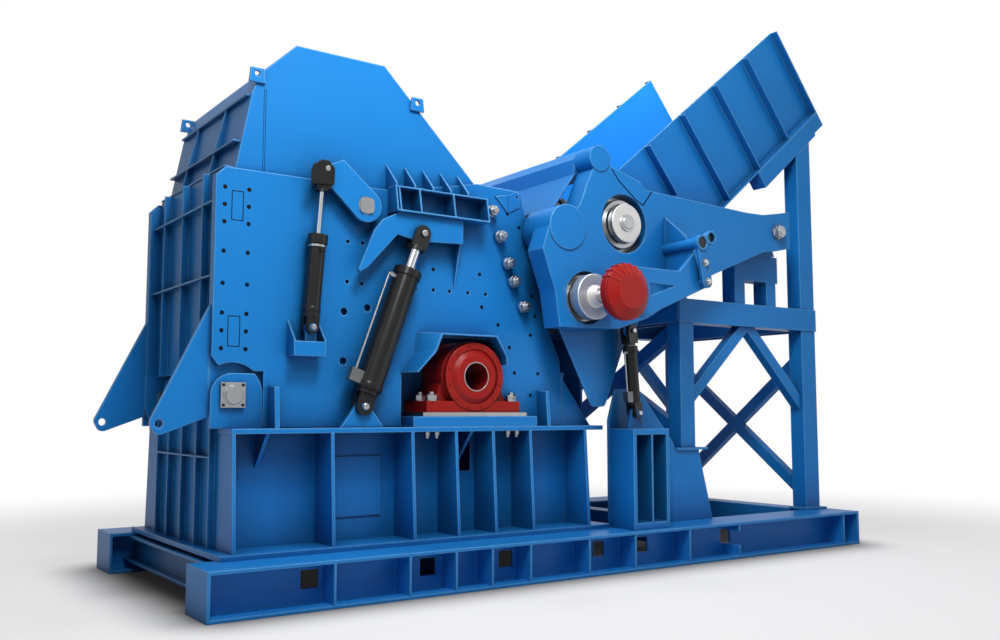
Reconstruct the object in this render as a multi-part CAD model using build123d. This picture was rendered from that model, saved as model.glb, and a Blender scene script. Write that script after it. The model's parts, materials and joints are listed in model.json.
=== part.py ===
"""Metal shredder: skid base, lower housing, swing-open hood, feed rollers and feed chute.

The machine is laid out along X, from the rear of its skids (x = 0) to the feed end, and is the
same on both sides of the middle plane y = 0. Every function below returns the solids of one
sub-part. Pieces that exist on both sides are drawn on the positive y side as distances from the
middle plane and mirrored. At the end everything is shifted along X, so that the origin lies
under the middle of the machine.
"""
import os
from math import atan2, cos, degrees, hypot, radians, sin, tan

from build123d import *

# General plate thicknesses and clearances
THIN_PLATE = 15.0
PLATE = 25.0
THICK_PLATE = 45.0
RUN_GAP = 6.0
PIN_CLEARANCE = 0.05

# Skids: two fabricated beams that carry everything
SKID_LENGTH = 8000.0
SKID_HALF_WIDTH = 1680.0
SKID_HEIGHT = 390.0
SKID_FLANGE_WIDTH = 500.0
SKID_FLANGE = 30.0
SKID_WEB = 25.0
SKID_STIFFENERS = (1050.0, 1750.0, 2215.0, 2600.0, 3030.0, 3740.0, 4340.0, 5110.0, 5870.0, 7710.0)
SKID_STIFFENER = 20.0
SKID_HOLES = (932.0, 2061.0, 2908.0, 4040.0, 4637.0, 5901.0)
SKID_HOLE_WIDTH = 160.0
SKID_HOLE_HEIGHT = 150.0
SKID_HOLE_SILL = 145.0
SKID_INNER = SKID_HALF_WIDTH - SKID_FLANGE_WIDTH
SKID_WEB_Y = SKID_HALF_WIDTH - SKID_FLANGE_WIDTH / 2
CROSS_BEAMS = (300.0, 2200.0, 4000.0)
CROSS_BEAM_WIDTH = 220.0
CROSS_BEAM_DROP = 70.0
CROSS_BEAM_FLANGE = 25.0

# Lower housing
BASE_REAR = 230.0
BASE_FRONT = 4345.0
DISCHARGE_HALF_WIDTH = 640.0
DISCHARGE_REAR = 800.0
DISCHARGE_FRONT = 3900.0
LOWER_REAR = 355.0
LOWER_FRONT = 4140.0
LOWER_HALF_WIDTH = 870.0
FLANGE_OVERHANG = 310.0
FLANGE_HALF_WIDTH = LOWER_HALF_WIDTH + FLANGE_OVERHANG
BASE_OVERHANG = 100.0
BASE_HALF_WIDTH = FLANGE_HALF_WIDTH + BASE_OVERHANG
FLANGE_TOP = 1445.0
FLANGE_REAR = 342.0
FLANGE_FRONT = 4350.0
LOWER_STIFFENERS = (360.0, 1245.0, 2050.0, 2525.0, 2950.0, 3400.0, 4110.0)
STIFFENER = 30.0
STIFFENER_FOOT = 60.0
FLANGE_GUSSETS = (675.0, 2735.0)
FLANGE_GUSSET_DROP = 300.0
FLANGE_GUSSET_REACH = 260.0
INSPECTION_WINDOW = (2590.0, 1010.0, 300.0, 300.0)
REAR_WALL_TOP = 1895.0
REAR_WALL_RIBS = (-750.0, -400.0, 0.0, 400.0, 750.0)
REAR_RIB_DEPTH = 55.0
REAR_RIB_LEVEL = 1190.0

# Side plates of the hood, and the hinge that it swings open on
HINGE_X = 400.0
HINGE_Z = 1725.0
HINGE_PIN_R = 70.0
LUG_RADIUS = 185.0
SEAM_RADIUS = 267.0
SEAM_TOP = 1910.0
SLIT = 20.0
SIDE_REAR = 216.0
PLATE_OUTER = 998.0
PLATE_INNER = 945.0
HOOD_OUTER = PLATE_INNER
HOOD_THICKNESS = 40.0
HOOD_INNER = HOOD_OUTER - HOOD_THICKNESS
PLATE_TOP = 3670.0
PLATE_TOP_FRONT = 1878.0
HOUSING_OPENING = 32.0
KEEPER = 212.0
KEEPER_THICKNESS = 32.0

# Hood outline above the side plates, from the rear foot over the top to the front
HOOD_REAR_FOOT = (401.0, 3690.0)
HOOD_REAR_TOP = (532.0, 4377.0)
HOOD_BACK = (615.0, 4575.0)
HOOD_TOP_REAR = (939.0, 4888.0)
HOOD_TOP_FRONT = (1841.0, 4884.0)
HOOD_FRONT_FOOT = (2880.0, 3865.0)
NOSE_TOP = (3400.0, 3850.0)
NOSE_KNEE = (3530.0, 3430.0)
MOUTH_TOP = (3745.0, 2880.0)
MOUTH_LOW = (3775.0, 2420.0)
MOUTH_STEP = (3985.0, 1996.0)
MOUTH_NOTCH = (3960.0, 1919.0)
CHEEK_DEPTH = 396.0
MOUTH_RADIUS = 3540.0
MOUTH_FOOT = HINGE_X + (MOUTH_RADIUS**2 - (HINGE_Z - FLANGE_TOP) ** 2) ** 0.5 + CHEEK_DEPTH
LATCH_OUTLINE = ((3086.0, 3768.0), (3248.0, 3800.0), (3351.0, 3848.0), (3414.0, 3821.0), (3393.0, 3682.0),
                 (3248.0, 3608.0))
LATCH_HOLE = (3358.0, 3786.0, 16.0)
LATCH_THICKNESS = 12.0

# Through holes of the side plates: small ones for bolts, large ones for lifting bars
SMALL_HOLE_R = 18.0
LARGE_HOLE_R = 35.0
SMALL_HOLES = ((1453.0, 3136.0), (1604.0, 3135.0), (1451.0, 2766.0), (1601.0, 2760.0), (2171.0, 2755.0),
               (2368.0, 2755.0), (2554.0, 2755.0), (2766.0, 2755.0), (2978.0, 2755.0))
LARGE_HOLES = ((1424.0, 2490.0), (1423.0, 2041.0), (1662.0, 2538.0))

# Rotor bearing
BEARING_X = 2780.0
BEARING_Z = 1925.0
BEARING_BORE_R = 134.0
CLOSING_HOLE_GAP = 16.0
BEARING_R = 345.0
BEARING_RING_R = 335.0
BEARING_FOOT = 1080.0
BEARING_FOOT_HEIGHT = 108.0
BEARING_INNER = 674.0
BEARING_OUTER = 1050.0
BEARING_RING_OUTER = 1105.0
BEARING_COVER_R = 265.0
BEARING_FACE_R = 215.0
BEARING_COVER_OUTER = 1137.0
BEARING_BOLT_SPACING = 930.0
BEARING_BOLT_ROWS = (850.0, 1060.0)
BEARING_BOLT_R = 22.0
BEARING_FLANK = ((430.0, 0.0), (385.0, 52.0), (338.0, 174.0))
PEDESTAL_REAR = 2057.0
PEDESTAL_FRONT = 3484.0
PEDESTAL_HEIGHT = 98.0
SOLE_HEIGHT = 37.0
SOLE_MARGIN = 60.0
BEARING_BASE = FLANGE_TOP + PEDESTAL_HEIGHT + SOLE_HEIGHT

# Opening of the hood's plates round the bearing, its folded guard and the plate that closes it inside
CUT_REAR = 2025.0
CUT_STEP = 1953.0
CUT_GAP = 10.0
CUT_CROWN = 2300.0
CUT_SIDE = 365.0
GUARD_EDGE = ((2089.0, 1951.0), (2285.0, 2154.0), (2357.0, 2328.0), (3000.0, 2330.0), (3118.0, 2130.0),
              (3128.0, 2050.0))
GUARD_ROOT = ((2010.0, 1949.0), (2150.0, 2140.0), (2192.0, 2345.0), (3015.0, 2350.0), (3132.0, 2140.0),
              (3150.0, 2048.0))
GUARD_THICKNESS = 15.0
CLOSING_TOP = 2330.0

# Hydraulic cylinders: place of the pins, distance of the cylinder's middle from y = 0
HOOD_CYL_Y = 1130.0
HOOD_CYL_FOOT = (1548.0, 1632.0)
HOOD_CYL_HEAD = (2141.0, 3252.0)
HOOD_CYL_R = 105.0
HOOD_ROD_R = 55.0
HOOD_BARREL_END = 1345.0
HOOD_EYE_R = 80.0
GATE_CYL_Y = 1100.0
GATE_CYL_FOOT = (1049.0, 2315.0)
GATE_CYL_HEAD = (1154.0, 3735.0)
GATE_CYL_R = 75.0
GATE_ROD_R = 20.0
GATE_BARREL_END = 830.0
GATE_EYE_R = 62.0
FEED_CYL_Y = 1400.0
FEED_CYL_FOOT = (4604.0, 1574.0)
FEED_CYL_HEAD = (4534.0, 2435.0)
FEED_CYL_R = 68.0
FEED_ROD_R = 36.0
FEED_BARREL_END = 700.0
FEED_EYE_R = 60.0
YOKE = 35.0
LUG_PLATE = 40.0
EAR = 40.0
CYLINDER_PIN_R = 34.0
EYE_GAP = RUN_GAP

# Gate shaft and lever on the hood
GATE_X = 1578.0
GATE_Z = 3465.0
GATE_BOSS_R = 153.0
LEVER_TOP = (1341.0, 3858.0)
GATE_SHAFT_R = 80.0
GATE_SQUARE = 140.0
LEVER_INNER = 1080.0
LEVER_OUTER = 1120.0
GATE_TRAVEL = 40.0

# Box beam with its gussets, and the console under it
BEAM_REAR = 1860.0
BEAM_FRONT = 2900.0
BEAM_TOP = 3690.0
BEAM_BOTTOM = 3440.0
BEAM_OUT = 1150.0
BEAM_LIP = 1200.0
BEAM_RIBS = (1900.0, 2120.0, 2500.0)
BEAM_GUSSETS = (1865.0, 2065.0, 2265.0, 2465.0, 2665.0)
BEAM_GUSSET_RISE = 235.0

CONSOLE_PLATE = (1905.0, 2612.0)
CONSOLE_UNDERSIDE = ((2612.0, 3205.0), (2200.0, 3188.0), (2080.0, 3190.0), (1887.0, 3227.0), (1584.0, 2896.0),
                     (1507.0, 2846.0), (1488.0, 2871.0), (1648.0, 3246.0), (1735.0, 3354.0))
CONSOLE_BRACE_FOOT = 2780.0

# Feed arm, pivoted on the support frame
PIVOT_X = 6833.0
PIVOT_Z = 3717.0
PIVOT_R = 80.0
PIVOT_BOSS_R = 225.0
ARM_OUTER = 1500.0
ARM_INNER = 1250.0
ARM_UNDERSIDE = ((3402.0, 3433.0), (3318.0, 3188.0), (3466.0, 2793.0), (3526.0, 2425.0), (4300.0, 2440.0),
                 (4713.0, 2572.0), (5726.0, 3118.0), (6584.0, 3452.0))
ARM_END = ((7078.0, 3545.0), (7078.0, 3990.0))
ARM_TOP = ((6597.0, 3901.0), (6303.0, 3895.0), (4802.0, 3949.0), (4700.0, 3955.0), (4629.0, 4028.0), (4294.0, 4120.0))
ARM_NOSE = ((3966.0, 4062.0), (3906.0, 3940.0), (3847.0, 3797.0), (3788.0, 3666.0))
FEED_LUG_ROOT = 165.0
TUBE_A = (3632.0, 3433.0)
TUBE_A_R = 230.0
TUBE_B = (4063.0, 4200.0)
TUBE_B_R = 137.0
UPPER_ROLLER = (4396.0, 3551.0)
UPPER_ROLLER_R = 400.0
LOWER_ROLLER = (3879.0, 2734.0)
LOWER_ROLLER_R = 320.0
ROLLER_HALF_LENGTH = 880.0
TOOTH = 50.0
TOOTH_ROWS = 7
TOOTH_MARGIN = 120.0
TEETH_AROUND = 10
UPPER_HOLE_R = 310.0
LOWER_HOLE_R = 270.0
RING_PROUD = 15.0
RING_SETBACK = 60.0
UPPER_CAP_R = 200.0
LOWER_HUB_R = 185.0
UPPER_SHAFT_R = 90.0
DRUM_FIT = 0.5
LOWER_SHAFT_R = 65.0
CAP_PROUD = 37.0
HUB_PROUD = 90.0
FEED_TRAVEL = 12.0
BEAM_SHOULDER = 0.2
DISC_PROUD = 10.0
MOTOR_Y = 2060.0
MOTOR_R = 268.0
MOTOR_FACE_R = 165.0
MOTOR_HALF = 113.0
MOTOR_BEVEL = 62.0

# Torque arm that holds the motor against the feed arm
TORQUE_PLATE = ((3740.0, 2900.0), (3830.0, 2975.0), (3950.0, 3020.0), (4747.0, 3027.0), (4960.0, 3230.0),
                (5107.0, 2873.0), (4220.0, 2514.0), (3950.0, 2470.0), (3830.0, 2490.0), (3740.0, 2570.0))
TORQUE_WINDOW = ((4323.0, 2872.0), (4676.0, 2870.0), (4320.0, 2738.0))
TORQUE_THICKNESS = 40.0
TORQUE_TUBE = (4990.0, 3335.0)
TORQUE_TUBE_R = 60.0
TORQUE_RING_R = 82.0
TORQUE_RING_OUTER = 2045.0
TORQUE_PIN = (5068.0, 2932.0)
TORQUE_PIN_R = 42.0
LINK_NEAR = 1990.0
LINK_THICKNESS = 40.0
LINK_WIDTH = 130.0
ARM_RIB = ((4980.0, 3693.0), (5324.0, 3514.0), (4983.0, 3133.0))

# Support frame of the feed end
POST_OUTER = 1200.0
POST_DEPTH = 200.0
FRONT_POST = (5495.0, 215.0)
END_POST = (7635.0, 260.0)
BEAM_LOW = 2600.0
BEAM_HIGH = 2870.0
STEP_TOP = 1190.0

# Feed chute
CHUTE_HALF_WIDTH = 1100.0
CHUTE_TOP = (7316.0, 6408.0)
CHUTE_DEPTH = 1200.0
CHUTE_SLOPE = 39.4
CHUTE_FOOT_X = 4330.0
CHUTE_RIB_SPACING = 722.0
CHUTE_RIB_DEPTH = 100.0
CHUTE_BEARER = 185.0
BEARER_FLANGE = 30.0
BEARER_STEP = 226.0
BEARER_FOOT_X = 6900.0


def profile(points, plane_at, radius=0.0):
    """Closed XZ outline at the given y, with its corners rounded by radius or by a list of them."""
    corners = [Vector(x, plane_at, z) for x, z in points]
    radii = list(radius) if isinstance(radius, (list, tuple)) else [radius] * len(corners)
    return Face(Wire(FilletPolyline(*corners, radius=radii, close=True).edges()))


def upright(points, near, far, radius=0.0):
    """Plate with an XZ outline, between two distances from the middle plane."""
    return extrude(profile(points, near, radius), amount=far - near, dir=(0, 1, 0))


def crosswise(points, rear, front):
    """Plate with a YZ outline, between two x stations."""
    face = Face(Wire(Polyline(*[(rear, y, z) for y, z in points], close=True).edges()))
    return extrude(face, amount=front - rear, dir=(1, 0, 0))


def block(x_range, y_range, z_range):
    """Box between two values on each axis."""
    spans = [high - low for low, high in (x_range, y_range, z_range)]
    middle = [(high + low) / 2 for low, high in (x_range, y_range, z_range)]
    return Pos(*middle) * Box(*spans)


def round_bar(x, z, radius, near, far):
    """Cylinder along Y."""
    return Pos(x, (near + far) / 2, z) * Rot(90, 0, 0) * Cylinder(radius, far - near)


def strut(start, end, width, near, far):
    """Flat-sided bar in an XZ plane between two points."""
    dx = end[0] - start[0]
    dz = end[1] - start[1]
    length = hypot(dx, dz)
    nx = -dz / length * width / 2
    nz = dx / length * width / 2
    corners = [(start[0] + nx, start[1] + nz), (end[0] + nx, end[1] + nz)]
    corners += [(end[0] - nx, end[1] - nz), (start[0] - nx, start[1] - nz)]
    return upright(corners, near, far)


def along(start, end, distance, offset=0.0):
    """Point at a distance from start towards end, and offset to the left of that line."""
    dx = end[0] - start[0]
    dz = end[1] - start[1]
    length = hypot(dx, dz)
    ux = dx / length
    uz = dz / length
    return (start[0] + ux * distance - uz * offset, start[1] + uz * distance + ux * offset)


def axial_bar(start, end, middle_y, radius, first, last):
    """Cylinder on the line from start to end, in the plane y = middle_y."""
    foot = along(start, end, first)
    head = along(start, end, last)
    direction = Vector(head[0] - foot[0], 0, head[1] - foot[1])
    plane = Plane(origin=(foot[0], middle_y, foot[1]), z_dir=direction)
    return extrude(plane * Circle(radius), amount=last - first)


def both_sides(solids):
    """The solids and their mirror images."""
    solids = list(solids)
    return solids + [mirror(solid, about=Plane.XZ) for solid in solids]


def skids():
    """Two skid beams with end plates, stiffeners and square lifting holes."""
    outer = SKID_HALF_WIDTH
    web = SKID_WEB / 2
    beam = block((0, SKID_LENGTH), (SKID_INNER, outer), (0, SKID_FLANGE))
    beam += block((0, SKID_LENGTH), (SKID_INNER, outer), (SKID_HEIGHT - SKID_FLANGE, SKID_HEIGHT))
    beam += block((0, SKID_LENGTH), (SKID_WEB_Y - web, SKID_WEB_Y + web), (0, SKID_HEIGHT))
    for x in (0, SKID_LENGTH - PLATE):
        beam += block((x, x + PLATE), (SKID_INNER, outer), (0, SKID_HEIGHT))
    for x in SKID_STIFFENERS:
        half = SKID_STIFFENER / 2
        beam += block((x - half, x + half), (SKID_WEB_Y, outer), (0, SKID_HEIGHT))
    for x in SKID_HOLES:
        half = SKID_HOLE_WIDTH / 2
        sill = SKID_HOLE_SILL
        beam -= block((x - half, x + half), (SKID_INNER, outer), (sill, sill + SKID_HOLE_HEIGHT))
    return both_sides([beam])


def cross_beams():
    """I-beams between the skids, and closed ones under the support frame."""
    reach = SKID_WEB_Y - SKID_WEB / 2
    low = SKID_FLANGE + CROSS_BEAM_DROP
    high = SKID_HEIGHT - SKID_FLANGE
    beams = []
    for x in CROSS_BEAMS:
        half = CROSS_BEAM_WIDTH / 2
        beam = block((x - SKID_WEB / 2, x + SKID_WEB / 2), (-reach, reach), (low, high))
        for base in (low, high - CROSS_BEAM_FLANGE):
            beam += block((x - half, x + half), (-reach, reach), (base, base + CROSS_BEAM_FLANGE))
        beams.append(beam)
    for start, width in (FRONT_POST, END_POST):
        bar = block((start, start + width), (-reach, reach), (low, high))
        cap = block((start, start + width), (-SKID_INNER, SKID_INNER), (high, SKID_HEIGHT))
        beams.append(bar + cap)
    return beams


def base_plate():
    """Thick plate under the lower housing, with the discharge opening in its middle."""
    plate = block((BASE_REAR, BASE_FRONT), (-BASE_HALF_WIDTH, BASE_HALF_WIDTH),
                  (SKID_HEIGHT, SKID_HEIGHT + THICK_PLATE))
    hole = block((DISCHARGE_REAR, DISCHARGE_FRONT), (-DISCHARGE_HALF_WIDTH, DISCHARGE_HALF_WIDTH),
                 (SKID_HEIGHT, SKID_HEIGHT + THICK_PLATE))
    return [plate - hole]


FLOOR = SKID_HEIGHT + THICK_PLATE
FLANGE_LOW = FLANGE_TOP - THICK_PLATE


def lower_side_walls():
    """Side walls of the lower housing, with an inspection window."""
    x, z, width, height = INSPECTION_WINDOW
    inner = LOWER_HALF_WIDTH - PLATE
    wall = block((LOWER_REAR + PLATE, LOWER_FRONT), (inner, LOWER_HALF_WIDTH), (FLOOR, FLANGE_LOW))
    wall -= block((x, x + width), (inner, LOWER_HALF_WIDTH), (z, z + height))
    return both_sides([wall])


def lower_stiffeners():
    """Upright stiffener plates between the base plate and the flange, and small gussets under the flange."""
    half = STIFFENER / 2
    plates = []
    for x in LOWER_STIFFENERS:
        outline = [(LOWER_HALF_WIDTH, FLOOR), (FLANGE_HALF_WIDTH + STIFFENER_FOOT, FLOOR)]
        outline += [(FLANGE_HALF_WIDTH, FLANGE_LOW), (LOWER_HALF_WIDTH, FLANGE_LOW)]
        plates.append(crosswise(outline, x - half, x + half))
    for x in FLANGE_GUSSETS:
        outline = [(LOWER_HALF_WIDTH, FLANGE_LOW - FLANGE_GUSSET_DROP), (LOWER_HALF_WIDTH, FLANGE_LOW),
                   (LOWER_HALF_WIDTH + FLANGE_GUSSET_REACH, FLANGE_LOW)]
        plates.append(crosswise(outline, x - half, x + half))
    return both_sides(plates)


def parting_flange():
    """Flange that the hood rests on, along both sides."""
    inner = LOWER_HALF_WIDTH - PLATE
    return both_sides([block((FLANGE_REAR, FLANGE_FRONT), (inner, FLANGE_HALF_WIDTH), (FLANGE_LOW, FLANGE_TOP))])


def lower_rear_wall():
    """Ribbed rear wall of the lower housing, with rounded top corners."""
    edge = LOWER_HALF_WIDTH - PLATE
    top = REAR_WALL_TOP
    bend = LUG_RADIUS
    corners = [(LOWER_REAR, -edge, FLOOR), (LOWER_REAR, edge, FLOOR), (LOWER_REAR, edge, top), (LOWER_REAR, -edge, top)]
    face = Face(Wire(FilletPolyline(*corners, radius=[0, 0, bend, bend], close=True).edges()))
    wall = extrude(face, amount=PLATE, dir=(1, 0, 0))
    half = THIN_PLATE / 2
    for y in REAR_WALL_RIBS:
        wall += block((LOWER_REAR - REAR_RIB_DEPTH, LOWER_REAR), (y - half, y + half), (FLOOR, top - bend))
    wall += block((LOWER_REAR - REAR_RIB_DEPTH, LOWER_REAR), (REAR_WALL_RIBS[0], REAR_WALL_RIBS[-1]),
                  (REAR_RIB_LEVEL, REAR_RIB_LEVEL + THIN_PLATE))
    return [wall]


def lower_front_wall():
    """Front wall of the lower housing."""
    edge = LOWER_HALF_WIDTH
    return [block((LOWER_FRONT, LOWER_FRONT + PLATE), (-edge + PLATE, edge - PLATE), (FLOOR, FLANGE_TOP))]


def lower_end_walls():
    """Both end walls of the lower housing."""
    return lower_rear_wall() + lower_front_wall()


def hinge_lugs():
    """Fixed lugs at the rear corners, rounded about the hinge pins."""
    seam_x = HINGE_X + SEAM_RADIUS
    edge_z = SEAM_TOP
    slit_end = HINGE_X + (SEAM_RADIUS**2 - (edge_z - HINGE_Z) ** 2) ** 0.5
    left = SIDE_REAR
    inner = PLATE_INNER + RUN_GAP
    lines = [Line((left, inner, FLANGE_TOP), (seam_x, inner, FLANGE_TOP)),
             Line((seam_x, inner, FLANGE_TOP), (seam_x, inner, HINGE_Z))]
    half_way = radians(degrees(atan2(edge_z - HINGE_Z, slit_end - HINGE_X)) / 2)
    middle = (HINGE_X + SEAM_RADIUS * cos(half_way), inner, HINGE_Z + SEAM_RADIUS * sin(half_way))
    lines.append(ThreePointArc((seam_x, inner, HINGE_Z), middle, (slit_end, inner, edge_z)))
    lines.append(Line((slit_end, inner, edge_z), (left + LUG_RADIUS, inner, edge_z)))
    turn = LUG_RADIUS * (1 - cos(radians(45)))
    lines.append(ThreePointArc((left + LUG_RADIUS, inner, edge_z), (left + turn, inner, edge_z - turn),
                               (left, inner, edge_z - LUG_RADIUS)))
    lines.append(Line((left, inner, edge_z - LUG_RADIUS), (left, inner, FLANGE_TOP)))
    lug = extrude(Face(Wire([edge for line in lines for edge in line.edges()])), amount=PLATE_OUTER - inner, dir=(0, 1, 0))
    lug -= round_bar(HINGE_X, HINGE_Z, HINGE_PIN_R, inner, PLATE_OUTER)
    return both_sides([lug])


def hinge_pins():
    """Hinge pins with their square keeper plates."""
    half = KEEPER / 2
    pin = round_bar(HINGE_X, HINGE_Z, HINGE_PIN_R, HOOD_INNER - PLATE, PLATE_OUTER)
    pin += block((HINGE_X - half, HINGE_X + half), (PLATE_OUTER, PLATE_OUTER + KEEPER_THICKNESS),
                 (HINGE_Z - half, HINGE_Z + half))
    pin += round_bar(HINGE_X, HINGE_Z, HINGE_PIN_R, PLATE_OUTER, PLATE_OUTER + 2 * KEEPER_THICKNESS)
    return both_sides([pin])


def bearing_pedestals():
    """Blocks on the flange that carry the rotor bearings."""
    return both_sides([block((PEDESTAL_REAR, PEDESTAL_FRONT), (BEARING_INNER, FLANGE_HALF_WIDTH),
                             (FLANGE_TOP, FLANGE_TOP + PEDESTAL_HEIGHT))])


def bearing_soles():
    """Machined sole plates under the bearings."""
    half = BEARING_FOOT / 2 + SOLE_MARGIN
    low = FLANGE_TOP + PEDESTAL_HEIGHT
    return both_sides([block((BEARING_X - half, BEARING_X + half), (BEARING_INNER, BEARING_COVER_OUTER + RUN_GAP),
                             (low, low + SOLE_HEIGHT))])


def rotor_bearings():
    """Plummer block: foot, arched body with flared flanks, flange ring, bevelled cover and bore."""
    half = BEARING_FOOT / 2
    base = BEARING_BASE
    step = base + BEARING_FOOT_HEIGHT
    body = block((BEARING_X - half, BEARING_X + half), (BEARING_INNER, BEARING_RING_OUTER), (base, step))
    body += round_bar(BEARING_X, BEARING_Z, BEARING_R, BEARING_INNER, BEARING_OUTER)
    flank = [(BEARING_X + out, step + up) for out, up in BEARING_FLANK]
    flank += [(BEARING_X - out, step + up) for out, up in reversed(BEARING_FLANK)]
    body += upright(flank, BEARING_INNER, BEARING_OUTER - PLATE)
    body += round_bar(BEARING_X, BEARING_Z, BEARING_RING_R, BEARING_OUTER, BEARING_RING_OUTER)
    cover = Cone(BEARING_COVER_R, BEARING_FACE_R, BEARING_COVER_OUTER - BEARING_RING_OUTER)
    body += Pos(BEARING_X, (BEARING_RING_OUTER + BEARING_COVER_OUTER) / 2, BEARING_Z) * Rot(-90, 0, 0) * cover
    body -= round_bar(BEARING_X, BEARING_Z, BEARING_BORE_R, BEARING_INNER, BEARING_COVER_OUTER)
    for sign_x in (-1, 1):
        for y in BEARING_BOLT_ROWS:
            x = BEARING_X + sign_x * BEARING_BOLT_SPACING / 2
            body -= Pos(x, y, (base + step) / 2) * Cylinder(BEARING_BOLT_R, BEARING_FOOT_HEIGHT)
    return both_sides([body])


def closing_plates():
    """Plates that close the housing behind the bearings, round the shaft."""
    rear = PEDESTAL_REAR
    near = BEARING_INNER - PLATE
    plate = block((rear, PEDESTAL_FRONT), (near, BEARING_INNER), (FLANGE_TOP, CLOSING_TOP))
    hole = round_bar(BEARING_X, BEARING_Z, BEARING_BORE_R + CLOSING_HOLE_GAP, near, BEARING_INNER)
    return both_sides([plate - hole])


def base_outline_right():
    """Right edge of the side plates, from the nose down to the flange."""
    return [NOSE_TOP, NOSE_KNEE, MOUTH_TOP, MOUTH_LOW, MOUTH_STEP, MOUTH_NOTCH, (MOUTH_FOOT, FLANGE_TOP + RUN_GAP)]


def bearing_cut():
    """Opening in the hood's plates that lets them lift off the bearing, rear foot first."""
    low = FLANGE_TOP + RUN_GAP
    shelf = FLANGE_TOP + PEDESTAL_HEIGHT + CUT_GAP
    foot_half = BEARING_FOOT / 2 + 1.2 * CUT_GAP
    sole_half = BEARING_FOOT / 2 + SOLE_MARGIN + 1.6 * CUT_GAP
    step = BEARING_BASE + BEARING_FOOT_HEIGHT
    flank = [(BEARING_X + out + 1.8 * CUT_GAP, step + up + CUT_GAP) for out, up in BEARING_FLANK[:2]]
    outline = [(CUT_REAR, low), (CUT_REAR, CUT_STEP), (GUARD_EDGE[0][0] + GUARD_THICKNESS, CUT_STEP)]
    outline += [GUARD_EDGE[1], (BEARING_X - CUT_SIDE, CUT_CROWN), (BEARING_X + CUT_SIDE * 2 / 3, CUT_CROWN)]
    outline += [(BEARING_X + CUT_SIDE, BEARING_Z + BEARING_R * 0.2), (BEARING_X + CUT_SIDE, BEARING_Z - BEARING_R * 0.2)]
    outline += list(reversed(flank))
    outline += [(BEARING_X + foot_half, step + CUT_GAP), (BEARING_X + foot_half, BEARING_BASE + CUT_GAP)]
    outline += [(BEARING_X + sole_half, BEARING_BASE + CUT_GAP), (BEARING_X + sole_half, shelf)]
    return outline + [(PEDESTAL_FRONT + CUT_GAP, shelf), (PEDESTAL_FRONT + CUT_GAP, low)]


def beyond_seam(radius, near, far):
    """Space in front of the round seam between the hood and the fixed cheeks."""
    space = block((MOUTH_TOP[0] - LOWER_HALF_WIDTH, MOUTH_FOOT + PLATE), (near, far), (FLANGE_TOP, MOUTH_TOP[1]))
    return space - round_bar(HINGE_X, HINGE_Z, radius, near, far)


def front_cheeks():
    """Fixed cheeks beside the mouth, in front of the hood's round seam."""
    outline = [(MOUTH_TOP[0], FLANGE_TOP), (MOUTH_FOOT, FLANGE_TOP), MOUTH_NOTCH, MOUTH_STEP, (MOUTH_TOP[0], MOUTH_STEP[1])]
    cheek = upright(outline, HOOD_INNER, PLATE_OUTER)
    return both_sides([cheek & beyond_seam(MOUTH_RADIUS + RUN_GAP, HOOD_INNER, PLATE_OUTER)])


def side_plates():
    """Thick outer side plates of the hood."""
    low = FLANGE_TOP + RUN_GAP
    seam = SEAM_RADIUS + RUN_GAP
    slit_z = SEAM_TOP + SLIT
    outline = [(SIDE_REAR + 95.0, slit_z), (SIDE_REAR, slit_z + 120.0), (SIDE_REAR, PLATE_TOP - 80.0)]
    outline += [(SIDE_REAR + 80.0, PLATE_TOP), (PLATE_TOP_FRONT, PLATE_TOP), (HOOD_FRONT_FOOT[0], HOOD_FRONT_FOOT[1])]
    outline += base_outline_right()
    outline += list(reversed(bearing_cut()))
    outline += [(HINGE_X + seam, low), (HINGE_X + seam, slit_z)]
    plate = upright(outline, PLATE_INNER, PLATE_OUTER)
    plate -= round_bar(HINGE_X, HINGE_Z, seam, PLATE_INNER, PLATE_OUTER)
    plate -= round_bar(GATE_X, GATE_Z, GATE_SHAFT_R + RUN_GAP, PLATE_INNER, PLATE_OUTER)
    plate -= beyond_seam(MOUTH_RADIUS, PLATE_INNER, PLATE_OUTER)
    for places, radius in ((SMALL_HOLES, SMALL_HOLE_R), (LARGE_HOLES, LARGE_HOLE_R)):
        for x, z in places:
            plate -= round_bar(x, z, radius, PLATE_INNER, PLATE_OUTER)
    return both_sides([plate])


def latch_plates():
    """Thin plates over the front corners of the hood's roof, each with an eye."""
    x, z, radius = LATCH_HOLE
    near = PLATE_OUTER
    plate = upright(LATCH_OUTLINE, near, near + LATCH_THICKNESS)
    return both_sides([plate - round_bar(x, z, radius, near, near + LATCH_THICKNESS)])


def hood_plates():
    """Inner side plates of the hood, from the flange to the top."""
    low = FLANGE_TOP + RUN_GAP
    outline = [(SIDE_REAR, low), (SIDE_REAR, PLATE_TOP - 80.0), HOOD_REAR_FOOT, HOOD_REAR_TOP, HOOD_BACK]
    outline += [HOOD_TOP_REAR, HOOD_TOP_FRONT, HOOD_FRONT_FOOT] + base_outline_right()
    outline += list(reversed(bearing_cut()))
    radii = [LUG_RADIUS] + [0.0] * (len(outline) - 1)
    plate = upright(outline, HOOD_INNER, HOOD_OUTER, radii)
    plate -= round_bar(HINGE_X, HINGE_Z, HINGE_PIN_R + PIN_CLEARANCE, HOOD_INNER, HOOD_OUTER)
    plate -= round_bar(GATE_X, GATE_Z, GATE_SHAFT_R + PIN_CLEARANCE, HOOD_INNER, HOOD_OUTER)
    plate -= beyond_seam(MOUTH_RADIUS, HOOD_INNER, HOOD_OUTER)
    return both_sides([plate])


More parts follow.
